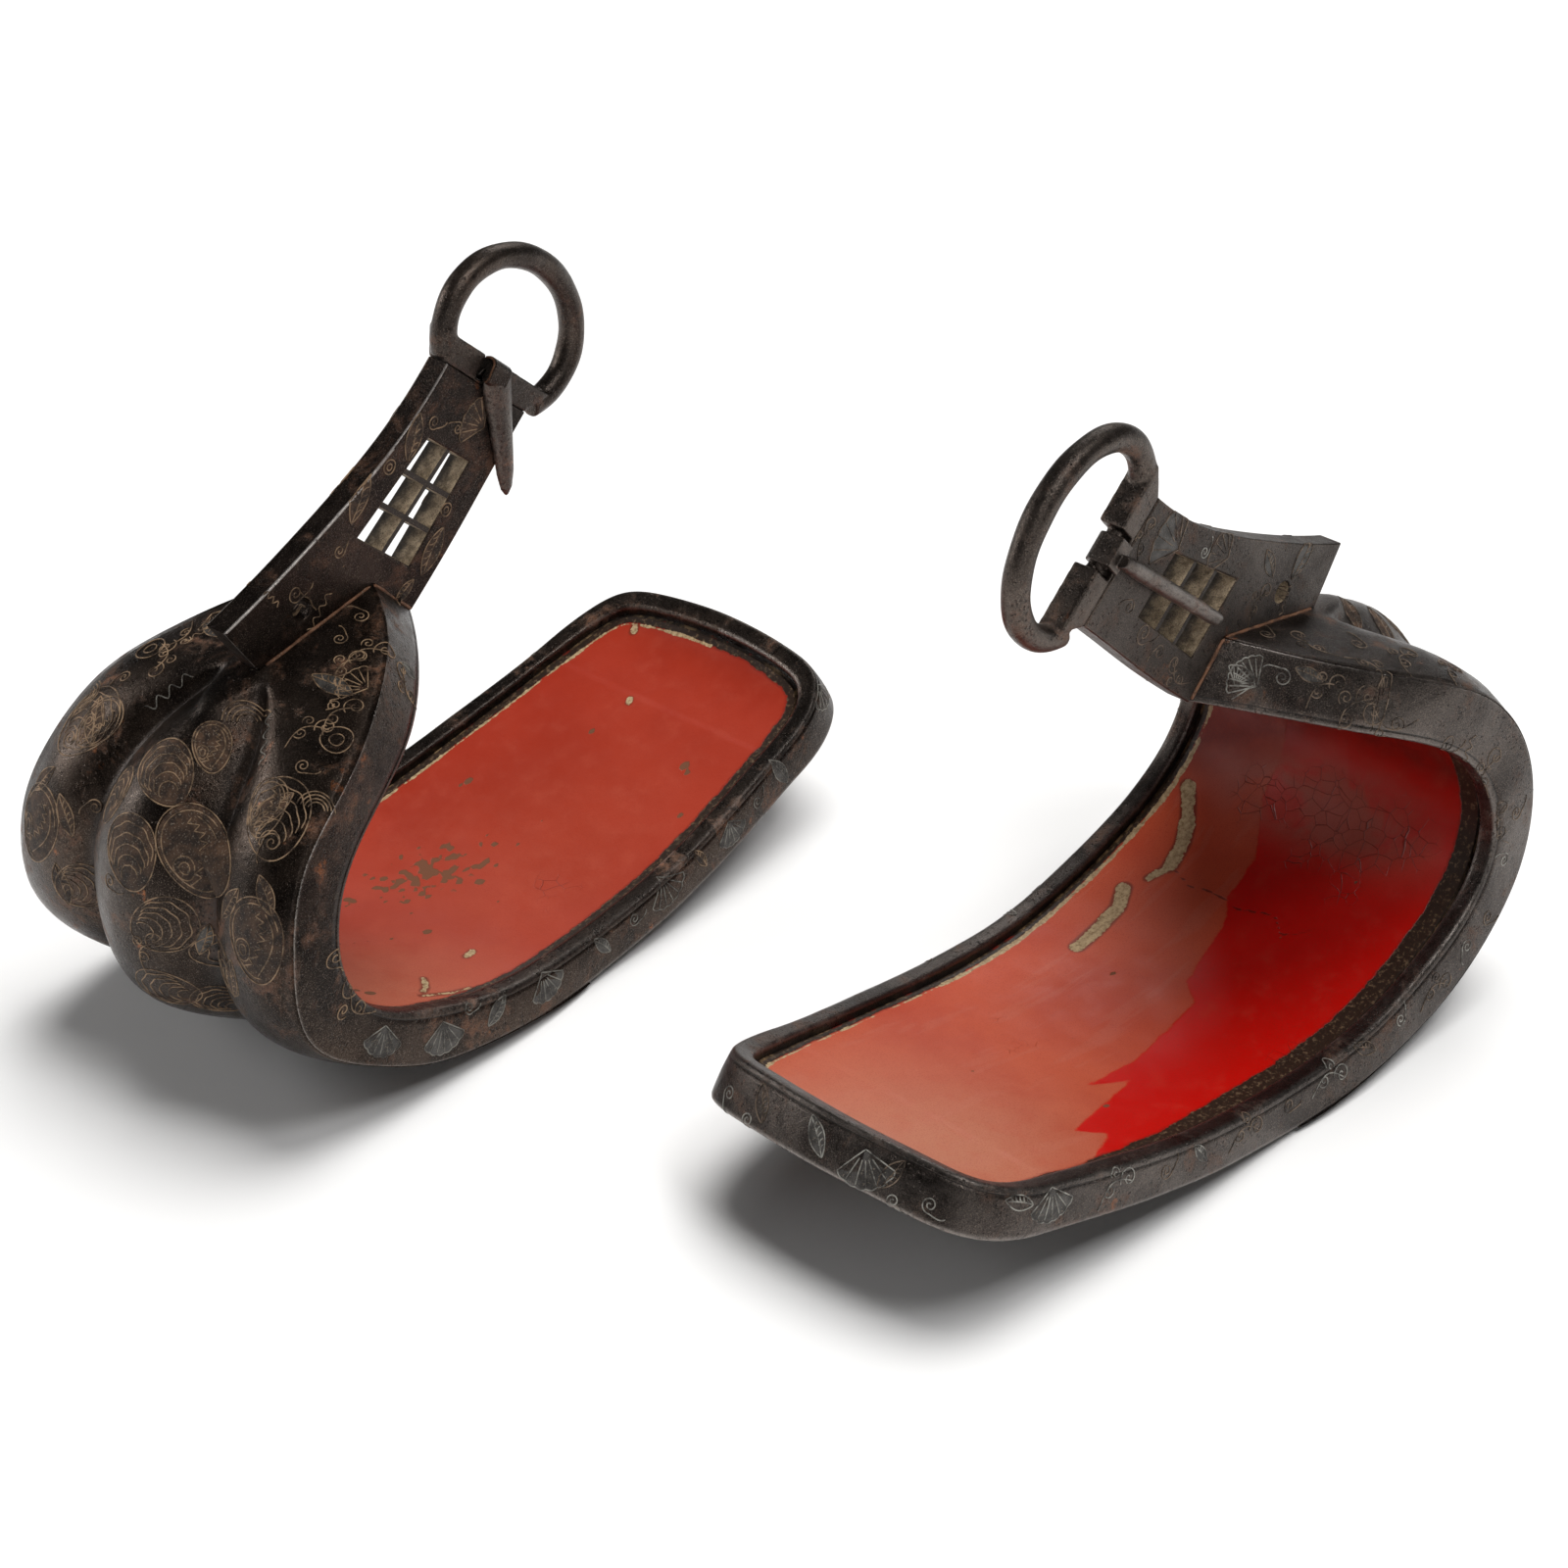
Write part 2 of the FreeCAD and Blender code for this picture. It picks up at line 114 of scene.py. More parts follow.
strip_thickness = 0.0022
front_edge_shares = [(0.37, 1.14), (0.90, 1.81)]
rear_edge_shares = [(0.35, -0.91), (0.67, -0.80)]

# Sizes of the finer surfaces alone
rim_round = 0.0019
inner_rim_round = 0.0021
sole_round = 0.0016
slight_round = 0.0006
plate_bevel = 0.0007
seam_radius = 0.00062
right_shank_turn = math.radians(9.7)
right_shank_share = 0.94
left_shank_share = 0.77
inlay_width = 0.00052
inlay_rise = 0.00015
inlay_step = 0.0007
leaf_rise = 0.00005

# Stations along the rim and the ridge, from the neck to the middle of the heel, as shares of the sizes above
rim_shares = [
    (0.634, 0.067, 1.000), (0.710, 0.415, 0.958), (0.802, 0.688, 0.888), (0.904, 0.826, 0.788),
    (0.976, 0.905, 0.662), (1.000, 0.968, 0.496), (0.976, 0.992, 0.372), (0.924, 1.000, 0.282),
    (0.845, 1.006, 0.212), (0.758, 1.006, 0.160), (0.592, 0.980, 0.134), (0.387, 0.955, 0.184),
    (0.161, 0.877, 0.298), (0.067, 0.812, 0.365), (0.029, 0.705, 0.404), (0.010, 0.475, 0.427),
    (0.000, 0.000, 0.437),
]
ridge_shares = [
    (0.646, 0.065, 1.000), (0.709, 0.412, 0.957), (0.799, 0.662, 0.889), (0.888, 0.809, 0.809),
    (0.963, 0.862, 0.684), (1.000, 0.926, 0.498), (0.988, 0.950, 0.300), (0.903, 0.992, 0.163),
    (0.800, 1.000, 0.071), (0.688, 1.008, 0.035), (0.540, 0.965, 0.010), (0.338, 0.938, 0.066),
    (0.123, 0.862, 0.166), (0.035, 0.805, 0.221), (-0.003, 0.705, 0.254), (-0.023, 0.478, 0.275),
    (-0.032, 0.000, 0.285),
]
section_degrees = [11.0, 9.0, 4.0, 1.0, 2.0, 8.0, 22.0, 48.0, 72.0, 85.0, 90.0]
side_crest_shares = [0.35, 0.36, 0.27, 0.16, 0.10, 0.08, 0.06, 0.085, 0.095, 0.070, 0.021]
groove_shares = [0.66, 0.50, 0.18, 0.03, 0.01, -0.01, -0.03, 0.045, 0.070, 0.070, 0.021]
middle_crest_shares = [0.735, 0.72, 0.46, 0.34, 0.275, 0.205, 0.165, 0.130, 0.095, 0.072, 0.021]
side_crest_place_shares = [1.10, 0.68, 0.66, 0.68, 0.73, 0.72, 0.70, 0.66, 0.62, 0.62, 0.64]
groove_place_shares = [0.98, 0.30, 0.25, 0.35, 0.43, 0.44, 0.40, 0.33, 0.28, 0.28, 0.30]
face_shares = np.array([0.012, 0.030, 0.048, 0.16, 0.34, 0.52, 0.70, 0.86, 0.96])
first_corner = 12
breast_end = 10
lobe_steps = 18


# ---- Curves and grids

def slopes_at_ends(points, values):
    """End slopes of the parabolas through the first and the last three points."""
    def slope(p, t):
        a, b = t[1] - t[0], t[2] - t[0]
        return (p[1] - p[0]) * (b / (a * (b - a))) - (p[2] - p[0]) * (a / (b * (b - a)))

    return slope(points[:3], values[:3]), slope(points[:-4:-1], values[:-4:-1])


def spline(points, values, at):
    """Smooth cubic curve through points at their values, read at other values. Points may be of any shape."""
    points, values, at = (np.asarray(a, float) for a in (points, values, at))
    flat = points.reshape(len(points), -1)
    count = len(values)
    gaps = np.diff(values)
    matrix = np.zeros((count, count))
    right = np.zeros_like(flat)
    matrix[0, 0] = matrix[-1, -1] = 1
    right[0], right[-1] = slopes_at_ends(flat, values)
    for k in range(1, count - 1):
        before, after = gaps[k - 1], gaps[k]
        matrix[k, k - 1 : k + 2] = after, 2 * (after + before), before
        right[k] = 3 * (after * (flat[k] - flat[k - 1]) / before + before * (flat[k + 1] - flat[k]) / after)
    slopes = np.linalg.solve(matrix, right)
    k = np.clip(np.searchsorted(values, at, side="right") - 1, 0, count - 2)
    gap = gaps[k][:, None]
    t = ((at - values[k]) / gaps[k])[:, None]
    result = (
        flat[k] * (2 * t**3 - 3 * t**2 + 1) + slopes[k] * gap * (t**3 - 2 * t**2 + t)
        + flat[k + 1] * (3 * t**2 - 2 * t**3) + slopes[k + 1] * gap * (t**3 - t**2)
    )
    return result.reshape((len(at),) + points.shape[1:])


def distances(points):
    """How far along a line each of its points lies."""
    return np.concatenate([[0.0], np.cumsum(np.linalg.norm(np.diff(points, axis=0), axis=1))])


def redrawn(points, count):
    """Smooth line through points, with a count of even steps."""
    values = distances(points)
    return spline(points, values, np.linspace(0, values[-1], count))


def unit(vectors):
    vectors = np.asarray(vectors, float)
    return vectors / np.maximum(np.linalg.norm(vectors, axis=-1, keepdims=True), 1e-12)


def mirrored(points):
    return np.asarray(points, float) * np.array([1.0, -1.0, 1.0])


rim = np.array([(x * body_length, s * half_width, z * neck_height) for x, s, z in rim_shares])
ridge = np.array([(x * ridge_length, s * ridge_half_width, z * ridge_height) for x, s, z in ridge_shares])
rim[0, 1] = ridge[0, 1] = plate_thickness / 2
ring_rim = np.vstack([rim, mirrored(rim[-2::-1])])
ring_ridge = np.vstack([ridge, mirrored(ridge[-2::-1])])
stations = distances(ring_rim)
last = len(rim) - 1


def inward_at(values):
    step = 1e-4
    values = np.clip(np.asarray(values, float), step, stations[-1] - step)
    along = spline(ring_rim, stations, values + step) - spline(ring_rim, stations, values - step)
    down = spline(ring_ridge, stations, values) - spline(ring_rim, stations, values)
    return unit(np.cross(unit(along), down))


def thickness_steps():
    """Vector through the band at every station."""
    steps = []
    for k, normal in enumerate(inward_at(stations)):
        from_heel = min(k, 2 * last - k)
        side = 1 if k <= last else -1
        if from_heel <= first_corner:
            steps.append([0, -side * band_thickness / max(abs(normal[1]), 0.45), 0])
        elif from_heel == first_corner + 1:
            steps.append(normal * (band_thickness + heel_thickness) / 2)
        else:
            steps.append(normal * heel_thickness)
    return np.array(steps)


steps = thickness_steps()
neck_corner = ridge[0] * [1, 0, 1]
neck_rear = rim[0] * [1, 0, 1]
first_angle = math.radians(section_degrees[0])
neck_front = neck_corner + np.array([math.cos(first_angle), 0, -math.sin(first_angle)]) * (
    middle_crest_shares[0] * ridge_half_width
)
down_plate = np.array([math.cos(plate_lean), 0, -math.sin(plate_lean)])
across_plate = np.array([math.sin(plate_lean), 0, math.cos(plate_lean)])
outward = np.array([0.0, 1.0, 0.0])
bar_middle = neck_corner - down_plate * plate_length - across_plate * plate_offset
wing_tip = neck_front + np.array([wing_reach, 0, wing_rise])


def on_plate(down, across, side=0.0):
    return bar_middle + down_plate * down + across_plate * across + outward * side


def below_line(points, start, end):
    """Points near the neck pressed down under the seam from start to end, which the buckle plate stands on."""
    along = unit(end - start)
    up = np.array([-along[2], 0, along[0]])
    height = np.maximum((points - start) @ up, 0)
    height *= np.linalg.norm((points - start) * [1, 0, 1], axis=-1) < 2 * np.linalg.norm(end - start)
    return points - height[..., None] * up


def wobble(points, size, amount, seed=0.0):
    """Small hand-made unevenness: how far each point moves, from smooth waves that don't repeat."""
    x, y, z = np.moveaxis(points / size, -1, 0)
    a = np.sin(x * 1.3 + 2.1 * np.sin(y * 0.9 + seed) + seed)
    b = np.sin(y * 1.7 + 1.7 * np.sin(z * 1.1 + 2 * seed))
    c = np.sin(z * 1.5 + 1.9 * np.sin(x * 1.2 - seed))
    return amount * (a + b + c) / 3


def ring_normals(grid):
    """Unit normals of a grid of points, rows by columns, whose last column joins the first."""
    across = np.roll(grid, -1, axis=1) - np.roll(grid, 1, axis=1)
    return unit(np.cross(np.gradient(grid, axis=0), across))


# ---- From a stirrup's own frame to the scene

def placed(points, side):
    points = np.asarray(points, float).reshape(-1, 3)
    if side == "right":
        return mirrored(points) + [-stagger / 2, -row_spacing / 2, 0] + to_origin
    c, s = math.cos(math.pi + splay), math.sin(math.pi + splay)
    x, y, z = points.T
    return np.column_stack([x * c - y * s + stagger / 2, x * s + y * c + row_spacing / 2, z]) + to_origin


def turn_outwards(mesh, weld=0.0):
    work = bmesh.new()
    work.from_mesh(mesh)
    if weld:
        bmesh.ops.remove_doubles(work, verts=work.verts, dist=weld)
    bmesh.ops.recalc_face_normals(work, faces=work.faces)
    work.to_mesh(mesh)
    work.free()


def mesh_piece(name, points, faces, body="stirrups", smooth=True):
    """A mesh object from points of the scene, with its faces turned outwards."""
    mesh = bpy.data.meshes.new(name)
    mesh.from_pydata([tuple(p) for p in points], [], [tuple(int(i) for i in f) for f in faces])
    mesh.update()
    piece = bpy.data.objects.new(name, mesh)
    bpy.context.scene.collection.objects.link(piece)
    turn_outwards(mesh)
    mesh.polygons.foreach_set("use_smooth", [smooth] * len(mesh.polygons))
    mesh.update()
    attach(piece, body)
    return piece


def add_mesh(name, side, points, faces, body="stirrups", smooth=True):
    """A mesh object of a stirrup, from points in the stirrup's own frame."""
    return mesh_piece(side + "_" + name, placed(points, side), faces, body, smooth)


def merged(parts):
    """Points and faces of several meshes as those of one."""
    points, faces, start = [], [], 0
    for part_points, part_faces in parts:
        points.append(part_points)
        faces += [tuple(i + start for i in f) for f in part_faces]
        start += len(part_points)
    return np.vstack(points), faces


def grid_faces(rows, columns, closed=True, caps=True):
    faces = []
    for i in range(rows - 1):
        for j in range(columns if closed else columns - 1):
            k = (j + 1) % columns
            faces.append((i * columns + j, i * columns + k, (i + 1) * columns + k, (i + 1) * columns + j))
    if caps:
        faces += [tuple(range(columns)), tuple(range((rows - 1) * columns, rows * columns))]
    return faces


def dress(piece, names, nodes=(), marks=None):
    """Gives a piece its materials and its marks, which are values by point, and hides the nodes it stands for."""
    for name in names:
        piece.data.materials.append(materials[name])
    for name, values in (marks or {}).items():
        attribute = piece.data.attributes.new(name, "FLOAT", "POINT")
        attribute.data.foreach_set("value", np.asarray(values, np.float32).ravel())
    if nodes:
        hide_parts(*nodes)


# ---- Node materials

class Value:
    """A node's output, which can be summed, multiplied and stepped."""

    def __init__(self, nodes, socket):
        self.nodes, self.socket = nodes, socket

    def __add__(self, other):
        return self.nodes.maths("ADD", self, other)

    def __sub__(self, other):
        return self.nodes.maths("SUBTRACT", self, other)

    def __rsub__(self, other):
        return self.nodes.maths("SUBTRACT", other, self)

    def __mul__(self, other):
        return self.nodes.maths("MULTIPLY", self, other)

    def step(self, low, high, to_low=0.0, to_high=1.0):
        """Smooth step, from to_low at low to to_high at high."""
        inputs = [self, low, high, to_low, to_high]
        return self.nodes.make("MapRange", 0, inputs, interpolation_type="SMOOTHSTEP")


class Nodes:
    """Short way to build a node material, whose colour is painted in layers."""

    def __init__(self, name, colour):
        self.material = bpy.data.materials.new(name)
        self.material.use_nodes = True
        self.tree = self.material.node_tree
        self.tree.nodes.clear()
        output = self.tree.nodes.new("ShaderNodeOutputMaterial")
        self.shader = self.tree.nodes.new("ShaderNodeBsdfPrincipled")
        self.tree.links.new(self.shader.outputs[0], output.inputs[0])
        self.place = self.make("TexCoord", "Object", [])
        self.colour = colour

    def put(self, target, value):
        if isinstance(value, Value):
            self.tree.links.new(value.socket, target)
        elif isinstance(value, tuple) and target.type == "RGBA":
            target.default_value = (*value, 1.0)
        else:
            target.default_value = value

    def make(self, kind, output, inputs, **settings):
        """One output of a new node with its settings and its inputs, by place or by name."""
        node = self.tree.nodes.new("ShaderNode" + kind)
        for name, value in settings.items():
            setattr(node, name, value)
        for key, value in inputs.items() if isinstance(inputs, dict) else enumerate(inputs):
            self.put(node.inputs[key], value)
        return Value(self, node.outputs[output])

    def noise(self, scale, detail, roughness, distortion=0.0, at=None):
        return self.make("TexNoise", "Fac", {
            "Vector": at or self.place, "Scale": scale, "Detail": detail, "Roughness": roughness,
            "Distortion": distortion,
        })

    def swirled(self, reach, scale=60.0):
        """The object's coordinates, pushed about by a noise."""
        push = self.make("TexNoise", "Color", {"Vector": self.place, "Scale": scale})
        return self.make("VectorMath", 0, [push, (reach,) * 3, self.place], operation="MULTIPLY_ADD")

    def attribute(self, name):
        return self.make("Attribute", "Fac", [], attribute_name=name)

    def maths(self, operation, a, b=0.0):
        return self.make("Math", 0, [a, b], operation=operation)

    def mix(self, share, a, b):
        return self.make("Mix", 2, {0: share, 6: a, 7: b}, data_type="RGBA")

    def paint(self, share, colour):
        """Lays a colour over what is there, by a share."""
        self.colour = self.mix(share, self.colour, colour)

    def finish(self, height=None, distance=0.0, strength=1.0, **inputs):
        """The material, with its bumps from a height and its shader's other inputs."""
        if height:
            bump = {"Strength": strength, "Distance": distance, "Height": height}
            inputs["Normal"] = self.make("Bump", "Normal", bump)
        inputs["Base_Color"] = self.colour
        for name, value in inputs.items():
            self.put(self.shader.inputs[name.replace("_", " ")], value)
        return self.material


def iron_material(name, dark, light, rust, gloss):
    """Dark patinated iron with russet patches, fine pits, grain and rubbed places that shine; its wear marks also paint
    a highlight on the left ridge, and it takes painted shade in creases.
    """
    n = Nodes(name, dark)
    patches, middle = n.noise(62, 6, 0.68, 0.5), n.noise(190, 6, 0.68)
    fine, grain = n.noise(850, 4, 0.7), n.noise(2600, 2, 0.6)
    n.paint(n.noise(24, 5, 0.62, 0.7).step(0.36, 0.66), light)
    n.paint(middle.step(0.48, 0.30, 0.0, 0.55), (0.012, 0.009, 0.008))
    russet = patches.step(0.50, 0.68) * middle.step(0.36, 0.60) * rust
    n.paint(russet, (0.150, 0.064, 0.031))
    n.paint(n.noise(120, 2, 0.5).step(0.70, 0.76) * fine.step(0.40, 0.6) * rust, (0.30, 0.105, 0.040))
    n.paint(grain.step(0.54, 0.70, 0.0, 0.55), (0.24, 0.19, 0.155))
    n.paint(grain.step(0.46, 0.34, 0.0, 0.6), (0.010, 0.007, 0.006))
    pores = n.make("TexVoronoi", "Distance", {"Vector": n.place, "Scale": 620})
    pit = pores.step(0.16, 0.30, 1.0, 0.0) * patches.step(0.44, 0.56)
    n.paint(pit * 0.6, (0.010, 0.008, 0.007))
    # rubbed places are lighter metal; on the left ridge the same mark is a painted highlight
    rub_and_highlight = n.attribute("wear") * fine.step(0.30, 0.52)
    n.paint(rub_and_highlight, (0.56, 0.51, 0.47))
    # painted shade: darker, less metallic iron in the creases that the band and the breast mark
    dirt = n.attribute("dirt") * middle.step(0.15, 0.5, 0.6, 0.95)
    n.paint(dirt, (0.008, 0.006, 0.005))
    rough = middle.step(0.28, 0.72, gloss, gloss + 0.16) + russet * 0.30 - rub_and_highlight * 0.12
    height = middle * 0.55 + fine * 0.35 + grain * 0.16 - pit * 0.5
    return n.finish(height, 0.0005, 0.8, Metallic=0.92 - (russet + dirt) * 0.75, Roughness=rough)


def inlay_material(name, dull, lit, metal, rough):
    """Thin metal let into the iron, tarnished in places."""
    n = Nodes(name, dull)
    n.paint(n.noise(240, 5, 0.65).step(0.36, 0.64), lit)
    fine = n.noise(1800, 3, 0.6)
    n.paint(fine.step(0.55, 0.72, 0.0, 0.5), (0.40, 0.33, 0.26))
    return n.finish(fine, 0.0003, 0.5, Metallic=metal, Roughness=fine.step(0.3, 0.7, rough, rough + 0.15))


def lacquer_material(name, side):
    """Old red lacquer: mottled, cracked, pitted and flaked, with a painted reflection on the left board and painted
    shade by flaked spots and along the crust; the right one has a deep glossy area and painted shadow under the neck.
    """
    base, second, pale, pale_low = {
        "left": ((0.275, 0.020, 0.008), (0.320, 0.028, 0.012), (0.390, 0.110, 0.060), 0.75),
        "right": ((0.380, 0.042, 0.016), (0.440, 0.066, 0.026), (0.400, 0.150, 0.086), 0.70),
    }[side]
    n = Nodes(name, base)
    middle, fine, grain = n.noise(110, 5, 0.65), n.noise(700, 4, 0.7), n.noise(2400, 2, 0.6)
    ragged = (middle - 0.5) * 3.4 + (fine - 0.5) * 1.3
    n.paint(n.noise(16, 4, 0.6, 0.3).step(0.35, 0.65), second)
    # paler where the pale mark lies: on the left board a painted reflection toward the toe, on the right paler lacquer
    # toward the heel
    n.paint(n.attribute("pale") * middle.step(0.2, 0.7, pale_low, 1.0), pale)
    if side == "right":
        stretched = n.make("Mapping", 0, {"Vector": n.place, "Scale": (0.25, 2.4, 1.0)})
        n.paint(n.noise(60, 3, 0.6, 0.2, stretched).step(0.56, 0.62, 0.0, 0.14), (0.44, 0.15, 0.10))
        deep = (n.attribute("deep") + ragged).step(-0.5, 0.5)
        n.paint(deep, (0.46, 0.0030, 0.0015))
        web = n.attribute("web") * n.noise(48, 4, 0.6, 0.6).step(0.34, 0.52, 0.45, 1.0)
        n.paint(web, (0.29, 0.070, 0.046))
        deep = deep * (1.0 - web)
        # painted shadow: dark red-brown under the neck's overhang and at the toe
        n.paint(n.attribute("dusky") * middle.step(0.25, 0.65, 0.75, 1.0), (0.105, 0.005, 0.003))
    n.paint(middle.step(0.50, 0.75, 0.0, 0.12), (0.45, 0.095, 0.052))
    n.paint(grain.step(0.52, 0.30, 0.0, 0.45), (0.24, 0.020, 0.010))
    net = {"Vector": n.swirled(0.005), "Scale": 190}
    crack = n.make("TexVoronoi", "Distance", net, feature="DISTANCE_TO_EDGE").step(0.0, 0.030, 1.0, 0.0)
    crack = crack * (n.attribute("crackle") + n.noise(34, 2, 0.5)).step(0.62, 0.72)
    crack = n.maths("MAXIMUM", crack, (n.attribute("crack") + ragged * 0.10).step(-0.10, 0.12))
    n.paint(crack * 0.75, (0.085, 0.012, 0.007))
    pit = (n.attribute("pit") + ragged * 0.22).step(-0.12, 0.12)
    n.paint(pit * 0.85, (0.105, 0.058, 0.030))
    bare = n.mix(fine.step(0.30, 0.66), (0.20, 0.130, 0.066), (0.43, 0.320, 0.185))
    # painted shade: a darker fringe round the flaked spots
    n.paint(n.attribute("loss").step(-1.3, -0.1, 0.0, 0.8), (0.12, 0.022, 0.010))
    loss = (n.attribute("loss") + ragged * 1.3).step(-0.12, 0.12)
    n.paint(loss, bare)
    crust = n.attribute("crust") + ragged
    # painted shadow: a dark red line along the crust at the board's edge by the rim
    n.paint(crust.step(-1.2, 0.0, 0.0, 0.6), (0.14, 0.010, 0.006))
    crusty = n.mix(fine.step(0.52, 0.66), (0.022, 0.013, 0.009), (0.115, 0.075, 0.045))
    n.paint(crust.step(-0.15, 0.15), crusty)
    n.paint((n.attribute("border") + ragged * 0.8).step(-0.12, 0.12), bare)
    height = middle * 0.45 + fine * 0.14 + grain * 0.03 - (crack + pit) * 0.6
    height = height - loss * 1.2 - crust.step(-0.3, 0.3, 0.0, 0.9)
    rough = middle.step(0.3, 0.7, 0.40, 0.52)
    if side == "right":
        rough, height = rough - deep * 0.08, height - deep * 0.35
    return n.finish(height, 0.0005, 0.5, Roughness=rough + (loss + pit) * 0.3, Specular_IOR_Level=0.35)


def bedding_material(name):
    n = Nodes(name, (0.022, 0.013, 0.008))
    middle = n.noise(240, 5, 0.68)
    n.paint(middle.step(0.42, 0.66), (0.25, 0.165, 0.085))
    n.paint(n.noise(46, 3, 0.6).step(0.42, 0.60, 0.0, 0.9), (0.020, 0.012, 0.009))
    n.paint(n.noise(90, 3, 0.6).step(0.58, 0.64, 0.0, 0.8), (0.16, 0.010, 0.005))
    return n.finish(middle + n.noise(1100, 3, 0.6) * 0.3, 0.0008, 0.9, Roughness=0.85)


def dust_and_shadow_material(name, side):
    """Rough inner walls of the window: khaki where dust lies, painted shadow deep inside, and dark on the plate's own
    faces.
    """
    n = Nodes(name, (0.18, 0.130, 0.077))
    middle, grain = n.noise(300, 5, 0.7), n.noise(2200, 3, 0.7)
    centre, way = placed([on_plate(0, 0), on_plate(0, 0, 1.0)], side)
    way = way - centre
    depth = n.make("VectorMath", "Value", [n.place, tuple(way)], operation="DOT_PRODUCT") - float(centre @ way)
    n.paint(middle.step(0.35, 0.65), (0.46, 0.355, 0.235))
    n.paint(grain.step(0.50, 0.36, 0.0, 0.7), (0.030, 0.021, 0.014))
    # painted shadow: darker toward the deep side of the window
    n.paint((depth + (middle - 0.5) * 0.004).step(-0.0030, 0.0010, 0.92, 0.0), (0.020, 0.014, 0.010))
    across = n.make("SeparateXYZ", 1, [n.make("NewGeometry", "True Normal", [])])
    face = n.mix(grain.step(0.55, 0.7), (0.035, 0.026, 0.021), (0.16, 0.13, 0.10))
    n.paint(n.maths("ABSOLUTE", across).step(0.6, 0.8), face)
    return n.finish(grain, 0.0005, 0.8, Roughness=0.7)


materials = {
    "left_body": iron_material("left_iron", (0.016, 0.0110, 0.0085), (0.058, 0.040, 0.030), 1.0, 0.25),
    "right_body": iron_material("right_iron", (0.036, 0.029, 0.026), (0.110, 0.093, 0.083), 0.6, 0.28),
    "left_plate": iron_material("left_plate_iron", (0.018, 0.0125, 0.010), (0.055, 0.039, 0.031), 0.6, 0.32),
    "right_plate": iron_material("right_plate_iron", (0.050, 0.041, 0.036), (0.095, 0.080, 0.071), 0.45, 0.40),
    "left_ring": iron_material("left_ring_iron", (0.026, 0.018, 0.014), (0.080, 0.057, 0.044), 0.7, 0.28),
    "right_ring": iron_material("right_ring_iron", (0.044, 0.033, 0.027), (0.105, 0.082, 0.068), 0.8, 0.30),
    "worn": iron_material("iron_worn", (0.055, 0.043, 0.036), (0.150, 0.125, 0.110), 0.8, 0.30),
    # painted highlight: a light copy of the iron, put on the left plate's front chamfer
    "bright": iron_material("iron_bright", (0.34, 0.31, 0.29), (0.66, 0.62, 0.58), 0.25, 0.34),
    "left_board": lacquer_material("lacquer_left", "left"),
    "right_board": lacquer_material("lacquer_right", "right"),
    "bedding": bedding_material("lacquer_ground"),
    "left_walls": dust_and_shadow_material("left_dust", "left"),
    "right_walls": dust_and_shadow_material("right_dust", "right"),
    "left_gold_line": inlay_material("left_gold", (0.050, 0.030, 0.018), (0.34, 0.225, 0.135), 0.35, 0.50),
    "left_pale_line": inlay_material("left_silver", (0.050, 0.045, 0.040), (0.25, 0.24, 0.21), 0.45, 0.45),
    "right_gold_line": inlay_material("right_gold", (0.020, 0.014, 0.011), (0.22, 0.160, 0.115), 0.55, 0.45),
    "right_pale_line": inlay_material("right_silver", (0.060, 0.055, 0.050), (0.40, 0.39, 0.35), 0.55, 0.42),
    "brown_leaf": inlay_material("inlay_brown", (0.016, 0.009, 0.006), (0.070, 0.038, 0.022), 0.05, 0.70),
    "grey_leaf": inlay_material("inlay_grey", (0.040, 0.036, 0.033), (0.092, 0.086, 0.080), 0.60, 0.42),
    "seam": inlay_material("iron_seam", (0.085, 0.038, 0.020), (0.22, 0.105, 0.058), 0.25, 0.60),
}


# ---- Iron band, all the way round from the neck over the heel and back

def rounded(corner, before, after, radius, count=5):
    """Points of a rounded corner, from the side before it to the side after it."""
    t = np.linspace(0, 1, count)[:, None]
    a = corner + unit(before - corner) * radius
    b = corner + unit(after - corner) * radius
    return (1 - t) ** 2 * a + 2 * t * (1 - t) * corner + t**2 * b


def straight(start, end, count):
    t = np.linspace(0, 1, count + 2)[1:-1, None]
    return start + (end - start) * t


def band_section(number):
    a, b = ring_rim[number], ring_ridge[number]
    c, d = b + steps[number], a + steps[number]
    along_sole = min(number, 2 * last - number) >= breast_end
    outer_top = rounded(a, d, b, rim_round)
    outer_low = rounded(b, a, c, sole_round if along_sole else slight_round)
    inner_low = rounded(c, b, d, slight_round, 2)
    inner_top = rounded(d, c, a, inner_rim_round)
    face = outer_top[-1] + (outer_low[0] - outer_top[-1]) * face_shares[:, None]
    crown = np.sin(face_shares * math.pi)[:, None] * 0.0003
    crown[1] -= 0.00035
    return np.vstack([
        outer_top, face - unit(steps[number]) * crown, outer_low, straight(outer_low[-1], inner_low[0], 1), inner_low,
        straight(inner_low[-1], inner_top[0], 4), inner_top, straight(inner_top[-1], outer_top[0], 2),
    ])


